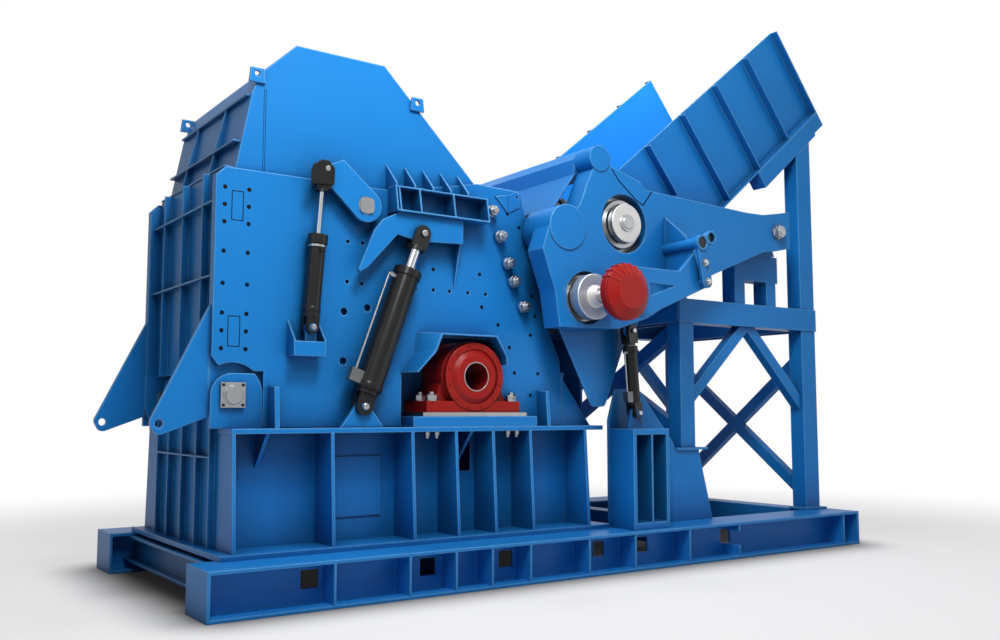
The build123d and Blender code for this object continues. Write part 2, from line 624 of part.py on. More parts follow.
def hood_roof():
    """Roof panels of the hood, folded over its top."""
    width = HOOD_INNER
    ridge = [HOOD_REAR_FOOT, HOOD_REAR_TOP, HOOD_BACK, HOOD_TOP_REAR, HOOD_TOP_FRONT, HOOD_FRONT_FOOT, NOSE_TOP]
    inner = [(480.0, 3690.0), (570.0, 4365.0), (650.0, 4550.0), (955.0, 4848.0), (1825.0, 4844.0), (2864.0, 3825.0)]
    inner += [(3380.0, 3810.0)]
    return [upright(ridge + list(reversed(inner)), -width, width)]


def hood_rear_wall():
    """Rear wall between the side plates, with bent upright ribs and level ribs."""
    width = HOOD_INNER
    rear = SIDE_REAR + 100.0
    low = REAR_WALL_TOP + 35.0
    top = HOOD_REAR_FOOT[1] - RUN_GAP
    wall = block((rear, rear + PLATE), (-width, width), (low, top))
    half = THIN_PLATE / 2
    for y in (-560.0, 0.0, 560.0):
        wall += block((rear - 70.0, rear), (y - half, y + half), (low, top))
    for z in (2750.0, 3400.0):
        wall += block((rear - 70.0, rear), (-width, width), (z - half, z + half))
    return [wall]


def rear_arms():
    """Triangular arms that reach back from the hood to a cross hole."""
    tip = (-180.0, 1489.0)
    outline = [(SIDE_REAR, 2490.0), (-262.0, 1500.0), (-200.0, 1385.0), (SIDE_REAR, 1540.0)]
    arm = upright(outline, HOOD_INNER, HOOD_OUTER, [0.0, 60.0, 60.0, 0.0])
    arm -= round_bar(tip[0], tip[1], 35.0, HOOD_INNER, HOOD_OUTER)
    return both_sides([arm])


def box_beams():
    """Open-fronted box beam on each side plate, with ribs and triangular gussets above."""
    beam = block((BEAM_REAR, BEAM_FRONT), (PLATE_OUTER, BEAM_OUT), (BEAM_TOP - THIN_PLATE, BEAM_TOP))
    beam += block((BEAM_REAR, BEAM_FRONT), (PLATE_OUTER, BEAM_LIP), (BEAM_BOTTOM, BEAM_BOTTOM + THIN_PLATE))
    rib = [(PLATE_OUTER, BEAM_BOTTOM), (BEAM_LIP, BEAM_BOTTOM), (BEAM_OUT, BEAM_TOP), (PLATE_OUTER, BEAM_TOP)]
    for x in BEAM_RIBS:
        beam += crosswise(rib, x - THIN_PLATE / 2, x + THIN_PLATE / 2)
    for x in (BEAM_REAR, BEAM_FRONT - THIN_PLATE):
        beam += crosswise(rib, x, x + THIN_PLATE)
    slope = (HOOD_FRONT_FOOT[1] - PLATE_TOP) / (HOOD_FRONT_FOOT[0] - PLATE_TOP_FRONT)
    for x in BEAM_GUSSETS:
        edge = PLATE_TOP + max(0.0, x + THIN_PLATE - PLATE_TOP_FRONT) * slope
        gusset = [(HOOD_OUTER, edge), (PLATE_OUTER, edge), (PLATE_OUTER, BEAM_TOP), (BEAM_OUT, BEAM_TOP),
                  (BEAM_OUT, BEAM_TOP + PLATE), (HOOD_OUTER, BEAM_TOP + BEAM_GUSSET_RISE)]
        beam += crosswise(gusset, x, x + THIN_PLATE)
    return both_sides([beam])


def consoles():
    """Consoles under the box beams that the hood cylinders push on."""
    plate_near = HOOD_CYL_Y - LUG_PLATE / 2
    plate_far = HOOD_CYL_Y + LUG_PLATE / 2
    rear, front = CONSOLE_PLATE
    outline = [(rear, BEAM_BOTTOM), (front, BEAM_BOTTOM)] + list(CONSOLE_UNDERSIDE)
    plate = upright(outline, plate_near, plate_far)
    low = CONSOLE_UNDERSIDE[0][1]
    brace = [(PLATE_OUTER, CONSOLE_BRACE_FOOT), (plate_near, low), (plate_near, BEAM_BOTTOM), (PLATE_OUTER, BEAM_BOTTOM)]
    plate += crosswise(brace, front - THIN_PLATE, front)
    plate += block((rear, front), (PLATE_OUTER, plate_near), (BEAM_BOTTOM - THIN_PLATE, BEAM_BOTTOM))
    return both_sides([plate])


def bearing_guards():
    """Flared guards over the rotor bearings, on the side plates."""
    outer = FLANGE_HALF_WIDTH
    solid = loft([profile(GUARD_ROOT, PLATE_OUTER), profile(GUARD_EDGE, outer)])
    (rear, low), second, third, fourth, fifth, (front, last) = GUARD_EDGE
    thick = GUARD_THICKNESS
    inside = [(rear + thick, low), (second[0] + thick, second[1] - thick / 2), (third[0] + thick, third[1] - thick)]
    inside += [(fourth[0] - thick, fourth[1] - thick), (fifth[0] - thick, fifth[1]), (front - thick, last)]
    inside += [(front - thick, low - PLATE), (rear + thick, low - PLATE)]
    return both_sides([solid - upright(inside, PLATE_OUTER, outer)])


def fork(pin, toward, middle_y, radius, reach):
    """Two round-ended ears about a pin, running towards another point."""
    ears = []
    for near in (middle_y - LUG_PLATE / 2 - EYE_GAP - EAR, middle_y + LUG_PLATE / 2 + EYE_GAP):
        ear = round_bar(pin[0], pin[1], radius, near, near + EAR)
        ear += strut(pin, along(pin, toward, reach), 2 * radius, near, near + EAR)
        ears.append(ear)
    return ears


def barrel(foot, head, middle_y, radius, rod_radius, end):
    """Cylinder barrel with its foot fork and a bore for the rod."""
    eye = radius * 0.75
    slot = eye + 35.0
    ears = fork(foot, head, middle_y, eye, slot + 30.0)
    solid = axial_bar(foot, head, middle_y, radius, slot, end)
    solid += axial_bar(foot, head, middle_y, radius + 12.0, end - 60.0, end)
    for ear in ears:
        solid += ear
    reach = LUG_PLATE / 2 + EYE_GAP + EAR
    solid -= round_bar(foot[0], foot[1], CYLINDER_PIN_R + PIN_CLEARANCE, middle_y - reach, middle_y + reach)
    solid -= axial_bar(foot, head, middle_y, rod_radius + PIN_CLEARANCE, slot + 60.0, end)
    return solid


def rod(foot, head, middle_y, radius, tail, eye, slot):
    """Piston rod with the fork that takes the moving pin."""
    length = hypot(head[0] - foot[0], head[1] - foot[1])
    root = length - slot
    bar = axial_bar(foot, head, middle_y, radius, tail, root)
    yoke = axial_bar(foot, head, middle_y, max(radius, eye), root - YOKE, root)
    for ear in fork(head, foot, middle_y, eye, slot + YOKE / 2):
        yoke += ear
    return bar + yoke


def hood_barrels():
    """Barrels of the hood cylinders."""
    return both_sides([barrel(HOOD_CYL_FOOT, HOOD_CYL_HEAD, HOOD_CYL_Y, HOOD_CYL_R, HOOD_ROD_R, HOOD_BARREL_END)])


def hood_rods():
    """Rods of the hood cylinders."""
    return both_sides([rod(HOOD_CYL_FOOT, HOOD_CYL_HEAD, HOOD_CYL_Y, HOOD_ROD_R, 260.0, HOOD_EYE_R, 130.0)])


def gate_barrels():
    """Barrels of the gate cylinders."""
    return both_sides([barrel(GATE_CYL_FOOT, GATE_CYL_HEAD, GATE_CYL_Y, GATE_CYL_R, GATE_ROD_R, GATE_BARREL_END)])


def gate_rods():
    """Rods of the gate cylinders."""
    return both_sides([rod(GATE_CYL_FOOT, GATE_CYL_HEAD, GATE_CYL_Y, GATE_ROD_R, 600.0, GATE_EYE_R, 155.0)])


def feed_barrels():
    """Barrels of the feed arm cylinders."""
    return both_sides([barrel(FEED_CYL_FOOT, FEED_CYL_HEAD, FEED_CYL_Y, FEED_CYL_R, FEED_ROD_R, FEED_BARREL_END)])


def feed_rods():
    """Rods of the feed arm cylinders."""
    return both_sides([rod(FEED_CYL_FOOT, FEED_CYL_HEAD, FEED_CYL_Y, FEED_ROD_R, 160.0, FEED_EYE_R, 115.0)])


def lug_with_pin(pin, base_z, half_base, middle_y):
    """Triangular bracket under a cylinder, with its pin."""
    outline = [(pin[0] - half_base, base_z), (pin[0] + half_base, base_z), (pin[0] + 60.0, pin[1] + 20.0),
               (pin[0] - 60.0, pin[1] + 20.0)]
    near = middle_y - LUG_PLATE / 2
    far = middle_y + LUG_PLATE / 2
    plate = upright(outline, near, far) + round_bar(pin[0], pin[1], 62.0, near, far)
    reach = EYE_GAP + EAR + 8.0
    return plate + round_bar(pin[0], pin[1], CYLINDER_PIN_R, near - reach, far + reach)


def hood_cylinder_brackets():
    """Brackets on the flange for the hood cylinders."""
    return both_sides([lug_with_pin(HOOD_CYL_FOOT, FLANGE_TOP, 215.0, HOOD_CYL_Y)])


def gate_cylinder_brackets():
    """Box brackets on the side plates for the gate cylinders."""
    foot_x, foot_z = GATE_CYL_FOOT
    low = foot_z - 250.0
    side = [(PLATE_OUTER, low), (1160.0, low), (1160.0, low + 140.0), (PLATE_OUTER, foot_z + 70.0)]
    near = GATE_CYL_Y - LUG_PLATE / 2
    far = GATE_CYL_Y + LUG_PLATE / 2
    solid = block((foot_x - 170.0, foot_x + 130.0), (PLATE_OUTER, 1160.0), (low, low + THIN_PLATE))
    for x in (foot_x - 170.0, foot_x + 130.0 - THIN_PLATE):
        solid += crosswise(side, x, x + THIN_PLATE)
    solid += block((foot_x - 170.0, foot_x + 130.0), (1160.0 - THIN_PLATE, 1160.0), (low, low + 130.0))
    solid += upright([(foot_x - 50.0, low), (foot_x + 50.0, low), (foot_x + 50.0, foot_z), (foot_x - 50.0, foot_z)],
                     near, far)
    solid += round_bar(foot_x, foot_z, 50.0, near, far)
    reach = EYE_GAP + EAR + 6.0
    solid += round_bar(foot_x, foot_z, CYLINDER_PIN_R, near - reach, far + reach)
    return both_sides([solid])


def gate_levers():
    """Three-cornered levers on the gate shaft, moved by the gate cylinders."""
    tip = GATE_CYL_HEAD
    solid = round_bar(GATE_X, GATE_Z, GATE_BOSS_R, LEVER_INNER, LEVER_OUTER)
    rise = atan2(tip[1] - GATE_Z, tip[0] - GATE_X)
    corners = []
    for centre, radius, side in (((GATE_X, GATE_Z), GATE_BOSS_R, 1), (tip, GATE_EYE_R, 1), (tip, GATE_EYE_R, -1),
                                 (LEVER_TOP, 0.0, 1), ((GATE_X, GATE_Z), GATE_BOSS_R, -1)):
        corners.append((centre[0] - side * radius * sin(rise), centre[1] + side * radius * cos(rise)))
    solid += upright(corners, LEVER_INNER, LEVER_OUTER)
    solid += round_bar(tip[0], tip[1], GATE_EYE_R, LEVER_INNER, LEVER_OUTER)
    solid -= round_bar(GATE_X, GATE_Z, GATE_SHAFT_R, LEVER_INNER, LEVER_OUTER)
    return both_sides([solid])


def gate_shaft():
    """Shaft of the gate, right across the hood, with rounded square ends."""
    shaft = round_bar(GATE_X, GATE_Z, GATE_SHAFT_R, -LEVER_OUTER, LEVER_OUTER)
    half = GATE_SQUARE / 2
    end = upright([(GATE_X - half, GATE_Z - half), (GATE_X + half, GATE_Z - half), (GATE_X + half, GATE_Z + half),
                   (GATE_X - half, GATE_Z + half)], LEVER_OUTER, LEVER_OUTER + THIN_PLATE, 30.0)
    return [shaft + end + mirror(end, about=Plane.XZ)]


def feed_arms():
    """Box-section side arms that carry both feed rollers."""
    boss = [(PIVOT_X, PIVOT_Z - PIVOT_BOSS_R)] + list(ARM_END) + [(PIVOT_X, PIVOT_Z + PIVOT_BOSS_R)]
    outline = list(ARM_UNDERSIDE) + boss + list(ARM_TOP) + [TUBE_B] + list(ARM_NOSE)
    arm = upright(outline, ARM_INNER, ARM_OUTER)
    arm += round_bar(TUBE_A[0], TUBE_A[1], TUBE_A_R, ARM_INNER, ARM_OUTER)
    arm -= round_bar(TUBE_B[0], TUBE_B[1], TUBE_B_R, ARM_INNER, ARM_OUTER)
    arm -= round_bar(UPPER_ROLLER[0], UPPER_ROLLER[1], UPPER_HOLE_R, ARM_INNER, ARM_OUTER)
    arm -= round_bar(LOWER_ROLLER[0], LOWER_ROLLER[1], LOWER_HOLE_R, ARM_INNER, ARM_OUTER)
    arm -= round_bar(PIVOT_X, PIVOT_Z, PIVOT_R + PIN_CLEARANCE, ARM_INNER, ARM_OUTER)
    near = FEED_CYL_Y - LUG_PLATE / 2
    far = FEED_CYL_Y + LUG_PLATE / 2
    x, z = FEED_CYL_HEAD
    root = z + FEED_LUG_ROOT
    lug = [(x - FEED_EYE_R, z), (x + FEED_EYE_R, z), (x + FEED_LUG_ROOT, root), (x - FEED_LUG_ROOT, root)]
    arm += upright(lug, near, far)
    arm += round_bar(x, z, FEED_EYE_R, near, far)
    return both_sides([arm])


def cross_tubes():
    """Box beam that ties the two feed arms together, with round ends through the arms."""
    x, z = TUBE_B
    size = TUBE_B_R
    section = [(x - size, z - size), (x - size, z + size * BEAM_SHOULDER), (x - size * BEAM_SHOULDER, z + size)]
    section += [(x + size, z + size), (x + size, z - size)]
    beam = upright(section, -ARM_INNER, ARM_INNER)
    end = round_bar(x, z, size, ARM_INNER, ARM_OUTER + DISC_PROUD)
    return [beam + end + mirror(end, about=Plane.XZ)]


def stub_tubes():
    """Short thick tubes inboard of the feed arms."""
    inner = PLATE_OUTER + 60.0
    return both_sides([round_bar(TUBE_A[0], TUBE_A[1], TUBE_A_R, inner, ARM_INNER)])


def roller_cover():
    """Sloping front plate from the box beam down to the stub tubes, before the upper roller."""
    size = TUBE_B_R
    top = (TUBE_B[0] - size, TUBE_B[1] - size)
    foot = (TUBE_A[0], TUBE_A[1] + TUBE_A_R)
    length = hypot(top[0] - foot[0], top[1] - foot[1])
    lap = THIN_PLATE * length / (top[1] - foot[1])
    inner_foot = along(foot, top, 0.0, -THIN_PLATE)
    inner_top = (top[0] + lap, top[1])
    plate = upright([foot, top, inner_top, inner_foot], -ARM_INNER, ARM_INNER)
    return [plate - round_bar(TUBE_A[0], TUBE_A[1], TUBE_A_R, -ARM_INNER, ARM_INNER)]


def arm_guards():
    """Guard plates that hang inside the feed arms, with a rounded tip."""
    outline = [(3700.0, 2460.0), (4140.0, 1640.0), (4320.0, 1640.0), (4580.0, 2250.0), (4620.0, 2540.0), (3900.0, 2480.0)]
    near = ARM_INNER - THIN_PLATE
    guard = upright(outline, near, ARM_INNER, [0.0, 60.0, 60.0, 0.0, 0.0, 0.0])
    return both_sides([guard])


def roller_bearings():
    """Bearing rings of the feed rollers in the arms, with a proud outer ring round the shaft's end."""
    rings = []
    seat = ARM_OUTER - RING_SETBACK
    for (x, z), hole, shaft, hub in ((UPPER_ROLLER, UPPER_HOLE_R, UPPER_SHAFT_R, UPPER_CAP_R),
                                     (LOWER_ROLLER, LOWER_HOLE_R, LOWER_SHAFT_R, LOWER_HUB_R)):
        ring = round_bar(x, z, hole, ARM_INNER, seat)
        ring += round_bar(x, z, hole - 2 * RING_PROUD, seat, ARM_OUTER + RING_PROUD)
        ring -= round_bar(x, z, hub + RUN_GAP, seat, ARM_OUTER + RING_PROUD)
        rings.append(ring - round_bar(x, z, shaft + PIN_CLEARANCE, ARM_INNER, ARM_OUTER))
    return both_sides(rings)


def toothed_roller(centre, radius, shaft):
    """Drum of flats, bored for its shaft, with rows of blunt teeth, one on every second flat."""
    x, z = centre
    half_flat = 180.0 / (2 * TEETH_AROUND)
    corners = []
    for index in range(2 * TEETH_AROUND):
        angle = radians((2 * index + 1) * half_flat)
        corners.append((x + radius * cos(angle), z + radius * sin(angle)))
    solid = upright(corners, -ROLLER_HALF_LENGTH, ROLLER_HALF_LENGTH)
    solid -= round_bar(x, z, shaft + DRUM_FIT, -ROLLER_HALF_LENGTH, ROLLER_HALF_LENGTH)
    teeth = []
    pitch = 2 * (ROLLER_HALF_LENGTH - TOOTH_MARGIN) / (TOOTH_ROWS - 1)
    flat = radius * cos(radians(half_flat))
    for row in range(TOOTH_ROWS):
        y = -ROLLER_HALF_LENGTH + TOOTH_MARGIN + row * pitch
        for index in range(TEETH_AROUND):
            angle = 4 * half_flat * index + 2 * half_flat * (row % 2)
            tooth = Pos(0, 0, flat + TOOTH / 2) * Box(TOOTH, TOOTH, TOOTH)
            teeth.append(Pos(x, y, z) * Rot(0, angle, 0) * tooth)
    return solid + teeth


def roller_shaft(centre, shaft, reach, hub, hub_face):
    """Shaft through a roller, with a wider round end in each arm's bearing."""
    x, z = centre
    solid = round_bar(x, z, shaft, -reach, reach)
    end = round_bar(x, z, hub, ARM_OUTER - RING_SETBACK + RUN_GAP, hub_face)
    return solid + end + mirror(end, about=Plane.XZ)


def upper_roller():
    """Upper feed roller."""
    return [toothed_roller(UPPER_ROLLER, UPPER_ROLLER_R, UPPER_SHAFT_R)]


def upper_roller_shaft():
    """Shaft of the upper roller with its end caps."""
    reach = ARM_OUTER + RING_SETBACK
    return [roller_shaft(UPPER_ROLLER, UPPER_SHAFT_R, reach, UPPER_CAP_R, ARM_OUTER + CAP_PROUD)]


def lower_roller():
    """Lower feed roller."""
    return [toothed_roller(LOWER_ROLLER, LOWER_ROLLER_R, LOWER_SHAFT_R)]


def lower_roller_shaft():
    """Drive shaft of the lower roller with its hubs, out to the motors."""
    return [roller_shaft(LOWER_ROLLER, LOWER_SHAFT_R, MOTOR_Y, LOWER_HUB_R, ARM_OUTER + HUB_PROUD)]


def drive_motors():
    """Hydraulic motors with bevelled faces on the ends of the lower roller's shaft."""
    x, z = LOWER_ROLLER
    near = MOTOR_Y - MOTOR_HALF
    far = MOTOR_Y + MOTOR_HALF
    section = [(0.0, near), (MOTOR_FACE_R, near), (MOTOR_R, near + MOTOR_BEVEL), (MOTOR_R, far - MOTOR_BEVEL)]
    section += [(MOTOR_FACE_R, far), (0.0, far)]
    face = Face(Wire(Polyline(*[(x + out, y, z) for out, y in section], close=True).edges()))
    body = revolve(face, axis=Axis((x, 0, z), (0, 1, 0)))
    return both_sides([body - round_bar(x, z, LOWER_SHAFT_R + PIN_CLEARANCE, near, MOTOR_Y + PIN_CLEARANCE)])


def torque_arms():
    """Torque arms that hold the motors: plate, tube from the feed arm, and the link between them."""
    plate_far = MOTOR_Y - MOTOR_HALF
    plate_near = plate_far - TORQUE_THICKNESS
    solid = upright(TORQUE_PLATE, plate_near, plate_far) - upright(TORQUE_WINDOW, plate_near, plate_far)
    solid -= round_bar(LOWER_ROLLER[0], LOWER_ROLLER[1], LOWER_SHAFT_R + 2 * RUN_GAP, plate_near, plate_far)
    x, z = TORQUE_TUBE
    solid += round_bar(x, z, TORQUE_TUBE_R, ARM_OUTER, LINK_NEAR)
    solid += round_bar(x, z, TORQUE_RING_R, LINK_NEAR, TORQUE_RING_OUTER)
    solid -= round_bar(x, z, TORQUE_TUBE_R, LINK_NEAR + LINK_THICKNESS, TORQUE_RING_OUTER)
    solid += strut(TORQUE_TUBE, TORQUE_PIN, LINK_WIDTH, LINK_NEAR, LINK_NEAR + LINK_THICKNESS)
    solid += round_bar(TORQUE_PIN[0], TORQUE_PIN[1], LINK_WIDTH / 2, LINK_NEAR, LINK_NEAR + LINK_THICKNESS)
    solid += round_bar(TORQUE_PIN[0], TORQUE_PIN[1], TORQUE_PIN_R, plate_near, LINK_NEAR)
    rib = upright(ARM_RIB, ARM_OUTER, ARM_OUTER + THIN_PLATE)
    return both_sides([solid + rib])


def pivot_pins():
    """Pins of the feed arms, on their brackets."""
    pin = round_bar(PIVOT_X, PIVOT_Z, PIVOT_R, 1150.0, ARM_OUTER + 20.0)
    half = 62.0
    pin += block((PIVOT_X - half, PIVOT_X + half), (ARM_OUTER + RUN_GAP, ARM_OUTER + 50.0), (PIVOT_Z - half, PIVOT_Z + half))
    return both_sides([pin])


def pivot_pedestals():
    """Blocks on short posts that carry the feed arms' pivots."""
    inner = POST_OUTER - POST_DEPTH
    solid = block((6430.0, 7200.0), (inner, POST_OUTER), (3160.0, 3480.0))
    for x in (6430.0, 6990.0):
        solid += block((x, x + 170.0), (inner, POST_OUTER), (BEAM_HIGH, 3160.0))
    bracket = upright([(6560.0, 3480.0), (7106.0, 3480.0), (PIVOT_X + 150.0, PIVOT_Z), (PIVOT_X - 150.0, PIVOT_Z)], 1150.0, 1240.0)
    bracket += round_bar(PIVOT_X, PIVOT_Z, 150.0, 1150.0, 1240.0)
    bracket -= block((6400.0, 7300.0), (POST_OUTER, 1300.0), (3160.0, 3480.0))
    bracket -= round_bar(PIVOT_X, PIVOT_Z, PIVOT_R, 1150.0, 1240.0)
    return both_sides([solid + bracket])


def chute_line(distance, depth):
    """Point on the chute's side: distance down from its top corner, depth below its top edge."""
    slope = radians(CHUTE_SLOPE)
    x = CHUTE_TOP[0] - distance * cos(slope) + depth * sin(slope)
    z = CHUTE_TOP[1] - distance * sin(slope) - depth * cos(slope)
    return (x, z)


def floor_distance(x, depth):
    """Distance down the chute at which its line at a depth reaches x."""
    slope = radians(CHUTE_SLOPE)
    return (CHUTE_TOP[0] + depth * sin(slope) - x) / cos(slope)


def chute_walls():
    """Side walls of the chute with their outer ribs and bottom flange."""
    inner = CHUTE_HALF_WIDTH - THIN_PLATE
    low_end = floor_distance(CHUTE_FOOT_X, CHUTE_DEPTH)
    top_end = floor_distance(4703.0, 0.0)
    outline = [chute_line(0, 0), chute_line(0, CHUTE_DEPTH), chute_line(low_end, CHUTE_DEPTH), (CHUTE_FOOT_X, 2900.0)]
    outline += [(4620.0, 3300.0), chute_line(top_end, 0)]
    wall = upright(outline, inner, CHUTE_HALF_WIDTH)
    outer = CHUTE_HALF_WIDTH + CHUTE_RIB_DEPTH
    for number in range(5):
        start = number * CHUTE_RIB_SPACING
        depth = CHUTE_DEPTH if number < 4 else CHUTE_DEPTH * 0.55
        rib = [chute_line(start, 0), chute_line(start, depth), chute_line(start + THIN_PLATE, depth),
               chute_line(start + THIN_PLATE, 0)]
        wall += upright(rib, CHUTE_HALF_WIDTH, outer)
    foot = floor_distance(5600.0, CHUTE_DEPTH)
    strip = [chute_line(0, CHUTE_DEPTH - THIN_PLATE), chute_line(0, CHUTE_DEPTH), chute_line(foot, CHUTE_DEPTH),
             chute_line(foot, CHUTE_DEPTH - THIN_PLATE)]
    wall += upright(strip, CHUTE_HALF_WIDTH, outer)
    return both_sides([wall])


def chute_floor():
    """Floor plate of the chute, with the edge channel under it."""
    low_end = floor_distance(CHUTE_FOOT_X, CHUTE_DEPTH)
    inner = CHUTE_HALF_WIDTH - THIN_PLATE
    floor = upright([chute_line(0, CHUTE_DEPTH - PLATE), chute_line(0, CHUTE_DEPTH), chute_line(low_end, CHUTE_DEPTH),
                     chute_line(low_end, CHUTE_DEPTH - PLATE)], -inner, inner)
    return [floor]


def chute_bearers():
    """Bearers under the chute with their bottom flange, on the support frame."""
    low_end = floor_distance(BEARER_FOOT_X, CHUTE_DEPTH)
    top = CHUTE_DEPTH
    middle = top + CHUTE_BEARER
    low = middle + BEARER_FLANGE
    bearer = upright([chute_line(0, top), chute_line(0, middle), chute_line(low_end, middle), chute_line(low_end, top)],
                     POST_OUTER - POST_DEPTH, POST_OUTER)
    bearer += upright([chute_line(BEARER_STEP, middle), chute_line(BEARER_STEP, low), chute_line(low_end, low),
                       chute_line(low_end, middle)], POST_OUTER - POST_DEPTH, POST_OUTER)
    return both_sides([bearer])


def feed_sill():
    """Upright sill between the lower housing and the chute's lower end."""
    low_end = floor_distance(CHUTE_FOOT_X, CHUTE_DEPTH)
    foot = chute_line(low_end, CHUTE_DEPTH)
    front = chute_line(low_end - PLATE / cos(radians(CHUTE_SLOPE)), CHUTE_DEPTH)
    half = LOWER_HALF_WIDTH - PLATE
    outline = [(foot[0], FLANGE_LOW), (front[0], FLANGE_LOW), front, foot]
    sill = upright(outline, -half, half)
    return [sill + block((LOWER_FRONT + PLATE, foot[0]), (-half, half), (FLANGE_LOW, FLANGE_LOW + PLATE))]


def feed_pedestals():
    """Pedestals on the skids beside the mouth, with a recessed front and the cylinder brackets."""
    far = 1600.0
    near = SKID_INNER + 40.0
    top = 1412.0
    solid = block((4400.0, 4900.0), (near, far), (SKID_HEIGHT, top))
    solid -= block((4440.0, 4650.0), (far - 220.0, far), (SKID_HEIGHT + 70.0, top - 60.0))
    solid -= block((4670.0, 4860.0), (far - 220.0, far), (SKID_HEIGHT + 70.0, top - 60.0))
    solid += lug_with_pin(FEED_CYL_FOOT, top, 110.0, FEED_CYL_Y)
    return both_sides([solid])


def feed_gussets():
    """Large gusset plates from the pedestals to the front posts' steps."""
    near = SKID_INNER + 10.0
    outline = [(4400.0, SKID_HEIGHT), (5945.0, SKID_HEIGHT), (5740.0, STEP_TOP - PLATE), (5375.0, STEP_TOP - PLATE)]
    outline += [(5327.0, 1266.0), (4839.0, 1826.0), (4500.0, 1826.0), (4400.0, 1500.0)]
    plate = upright(outline, near, near + 30.0)
    inner = POST_OUTER - POST_DEPTH
    step = block((5375.0, 5862.0), (inner, near + 60.0), (STEP_TOP - PLATE, STEP_TOP))
    web = upright([(5420.0, SKID_HEIGHT), (5800.0, SKID_HEIGHT), (5740.0, STEP_TOP - PLATE), (5420.0, STEP_TOP - PLATE)],
                  inner, inner + THIN_PLATE)
    for x in (5420.0, 5700.0):
        web += block((x, x + THIN_PLATE), (inner, near), (SKID_HEIGHT, STEP_TOP - PLATE))
    return both_sides([plate + step + web])


def front_posts():
    """Posts at the front of the support frame, on their steps."""
    start, width = FRONT_POST
    return both_sides([block((start, start + width), (POST_OUTER - POST_DEPTH, POST_OUTER), (STEP_TOP, BEAM_HIGH))])


def end_posts():
    """Tall posts at the feed end, cut to the slope of the chute."""
    start, width = END_POST
    depth = CHUTE_DEPTH + CHUTE_BEARER + BEARER_FLANGE
    tops = [chute_line(floor_distance(x, depth), depth) for x in (start, start + width)]
    post = upright([(start, SKID_HEIGHT), (start + width, SKID_HEIGHT), tops[1], tops[0]], POST_OUTER - POST_DEPTH, POST_OUTER)
    foot = block((start - 60.0, start + width + 60.0), (POST_OUTER - POST_DEPTH - 20.0, POST_OUTER + 60.0),
                 (SKID_HEIGHT, SKID_HEIGHT + PLATE))
    return both_sides([post + foot])


def support_beams():
    """Channels along both sides of the support frame, and the beams that tie them together."""
    rear = FRONT_POST[0] - 10.0
    front = END_POST[0] + END_POST[1] + 10.0
    web = block((rear, front), (POST_OUTER, POST_OUTER + THIN_PLATE), (BEAM_LOW, BEAM_HIGH))
    inner_rear = FRONT_POST[0] + FRONT_POST[1]
    for low in (BEAM_LOW, BEAM_HIGH - THIN_PLATE):
        web += block((inner_rear, END_POST[0]), (POST_OUTER - POST_DEPTH, POST_OUTER + THIN_PLATE), (low, low + THIN_PLATE))
    ring = web + mirror(web, about=Plane.XZ)
    inner = POST_OUTER - POST_DEPTH
    for start, width in (FRONT_POST, END_POST):
        ring += block((start - PLATE, start), (-POST_OUTER, POST_OUTER), (BEAM_LOW, BEAM_HIGH))
        ring += block((start + width, start + width + PLATE), (-POST_OUTER, POST_OUTER), (BEAM_LOW, BEAM_HIGH))
    return [ring]


def frame_braces():
    """Inverted V braces along both sides and X braces across the ends."""
    return side_braces() + cross_braces()


def side_braces():
    """Inverted V braces under the side channels."""
    apex_x = (FRONT_POST[0] + FRONT_POST[1] + END_POST[0]) / 2
    near = POST_OUTER - POST_DEPTH + 40.0
    far = POST_OUTER - 40.0
    left = strut((apex_x, BEAM_LOW + 40.0), (FRONT_POST[0] + FRONT_POST[1] - 60.0, 1700.0), 130.0, near, far)
    right = strut((apex_x, BEAM_LOW + 40.0), (END_POST[0] + 60.0, 1640.0), 130.0, near, far)
    keep = block((FRONT_POST[0] + FRONT_POST[1], END_POST[0]), (near, far), (SKID_HEIGHT, BEAM_LOW))
    return both_sides([(left + right) & keep])


def cross_braces():
    """X braces across the support frame, one at each pair of posts."""
    inner = POST_OUTER - POST_DEPTH
    braces = []
    for start, width, low, high in ((*FRONT_POST, 1300.0, BEAM_LOW), (*END_POST, 560.0, 2300.0)):
        rear = start + width / 2 - 50.0
        front = rear + 100.0
        half = 90.0
        one = crosswise([(-inner, low), (-inner, low + 2 * half), (inner, high), (inner, high - 2 * half)], rear, front)
        braces.append(one + mirror(one, about=Plane.XZ))
    return braces


def flange_lugs():
    """Small upright lugs on the flange beside the side plates."""
    inner = PLATE_OUTER + RUN_GAP
    lugs = []
    for x in (715.0, 3620.0):
        outline = [(inner, FLANGE_TOP), (FLANGE_HALF_WIDTH, FLANGE_TOP), (FLANGE_HALF_WIDTH - 30.0, FLANGE_TOP + 350.0),
                   (inner, FLANGE_TOP + 360.0)]
        lugs.append(crosswise(outline, x, x + 40.0))
    return both_sides(lugs)


def lifting_lugs():
    """Lifting lugs on the hood's rear and front slopes."""
    lugs = []
    for x, z in ((570.0, 4530.0), (2195.0, 4560.0)):
        lug = upright([(x - 75.0, z - 60.0), (x + 75.0, z - 60.0), (x + 60.0, z + 70.0), (x - 60.0, z + 70.0)],
                      HOOD_OUTER, HOOD_OUTER + PLATE, 0.0)
        lugs.append(lug - round_bar(x, z + 20.0, 25.0, HOOD_OUTER, HOOD_OUTER + PLATE))
    return both_sides(lugs)


def flange_brackets():
    """Cylinder brackets and small lugs on the flange."""
    return hood_cylinder_brackets() + flange_lugs()


def arm_tubes():
    """Cross tube and short stub tubes of the feed arms."""
    return cross_tubes() + stub_tubes()


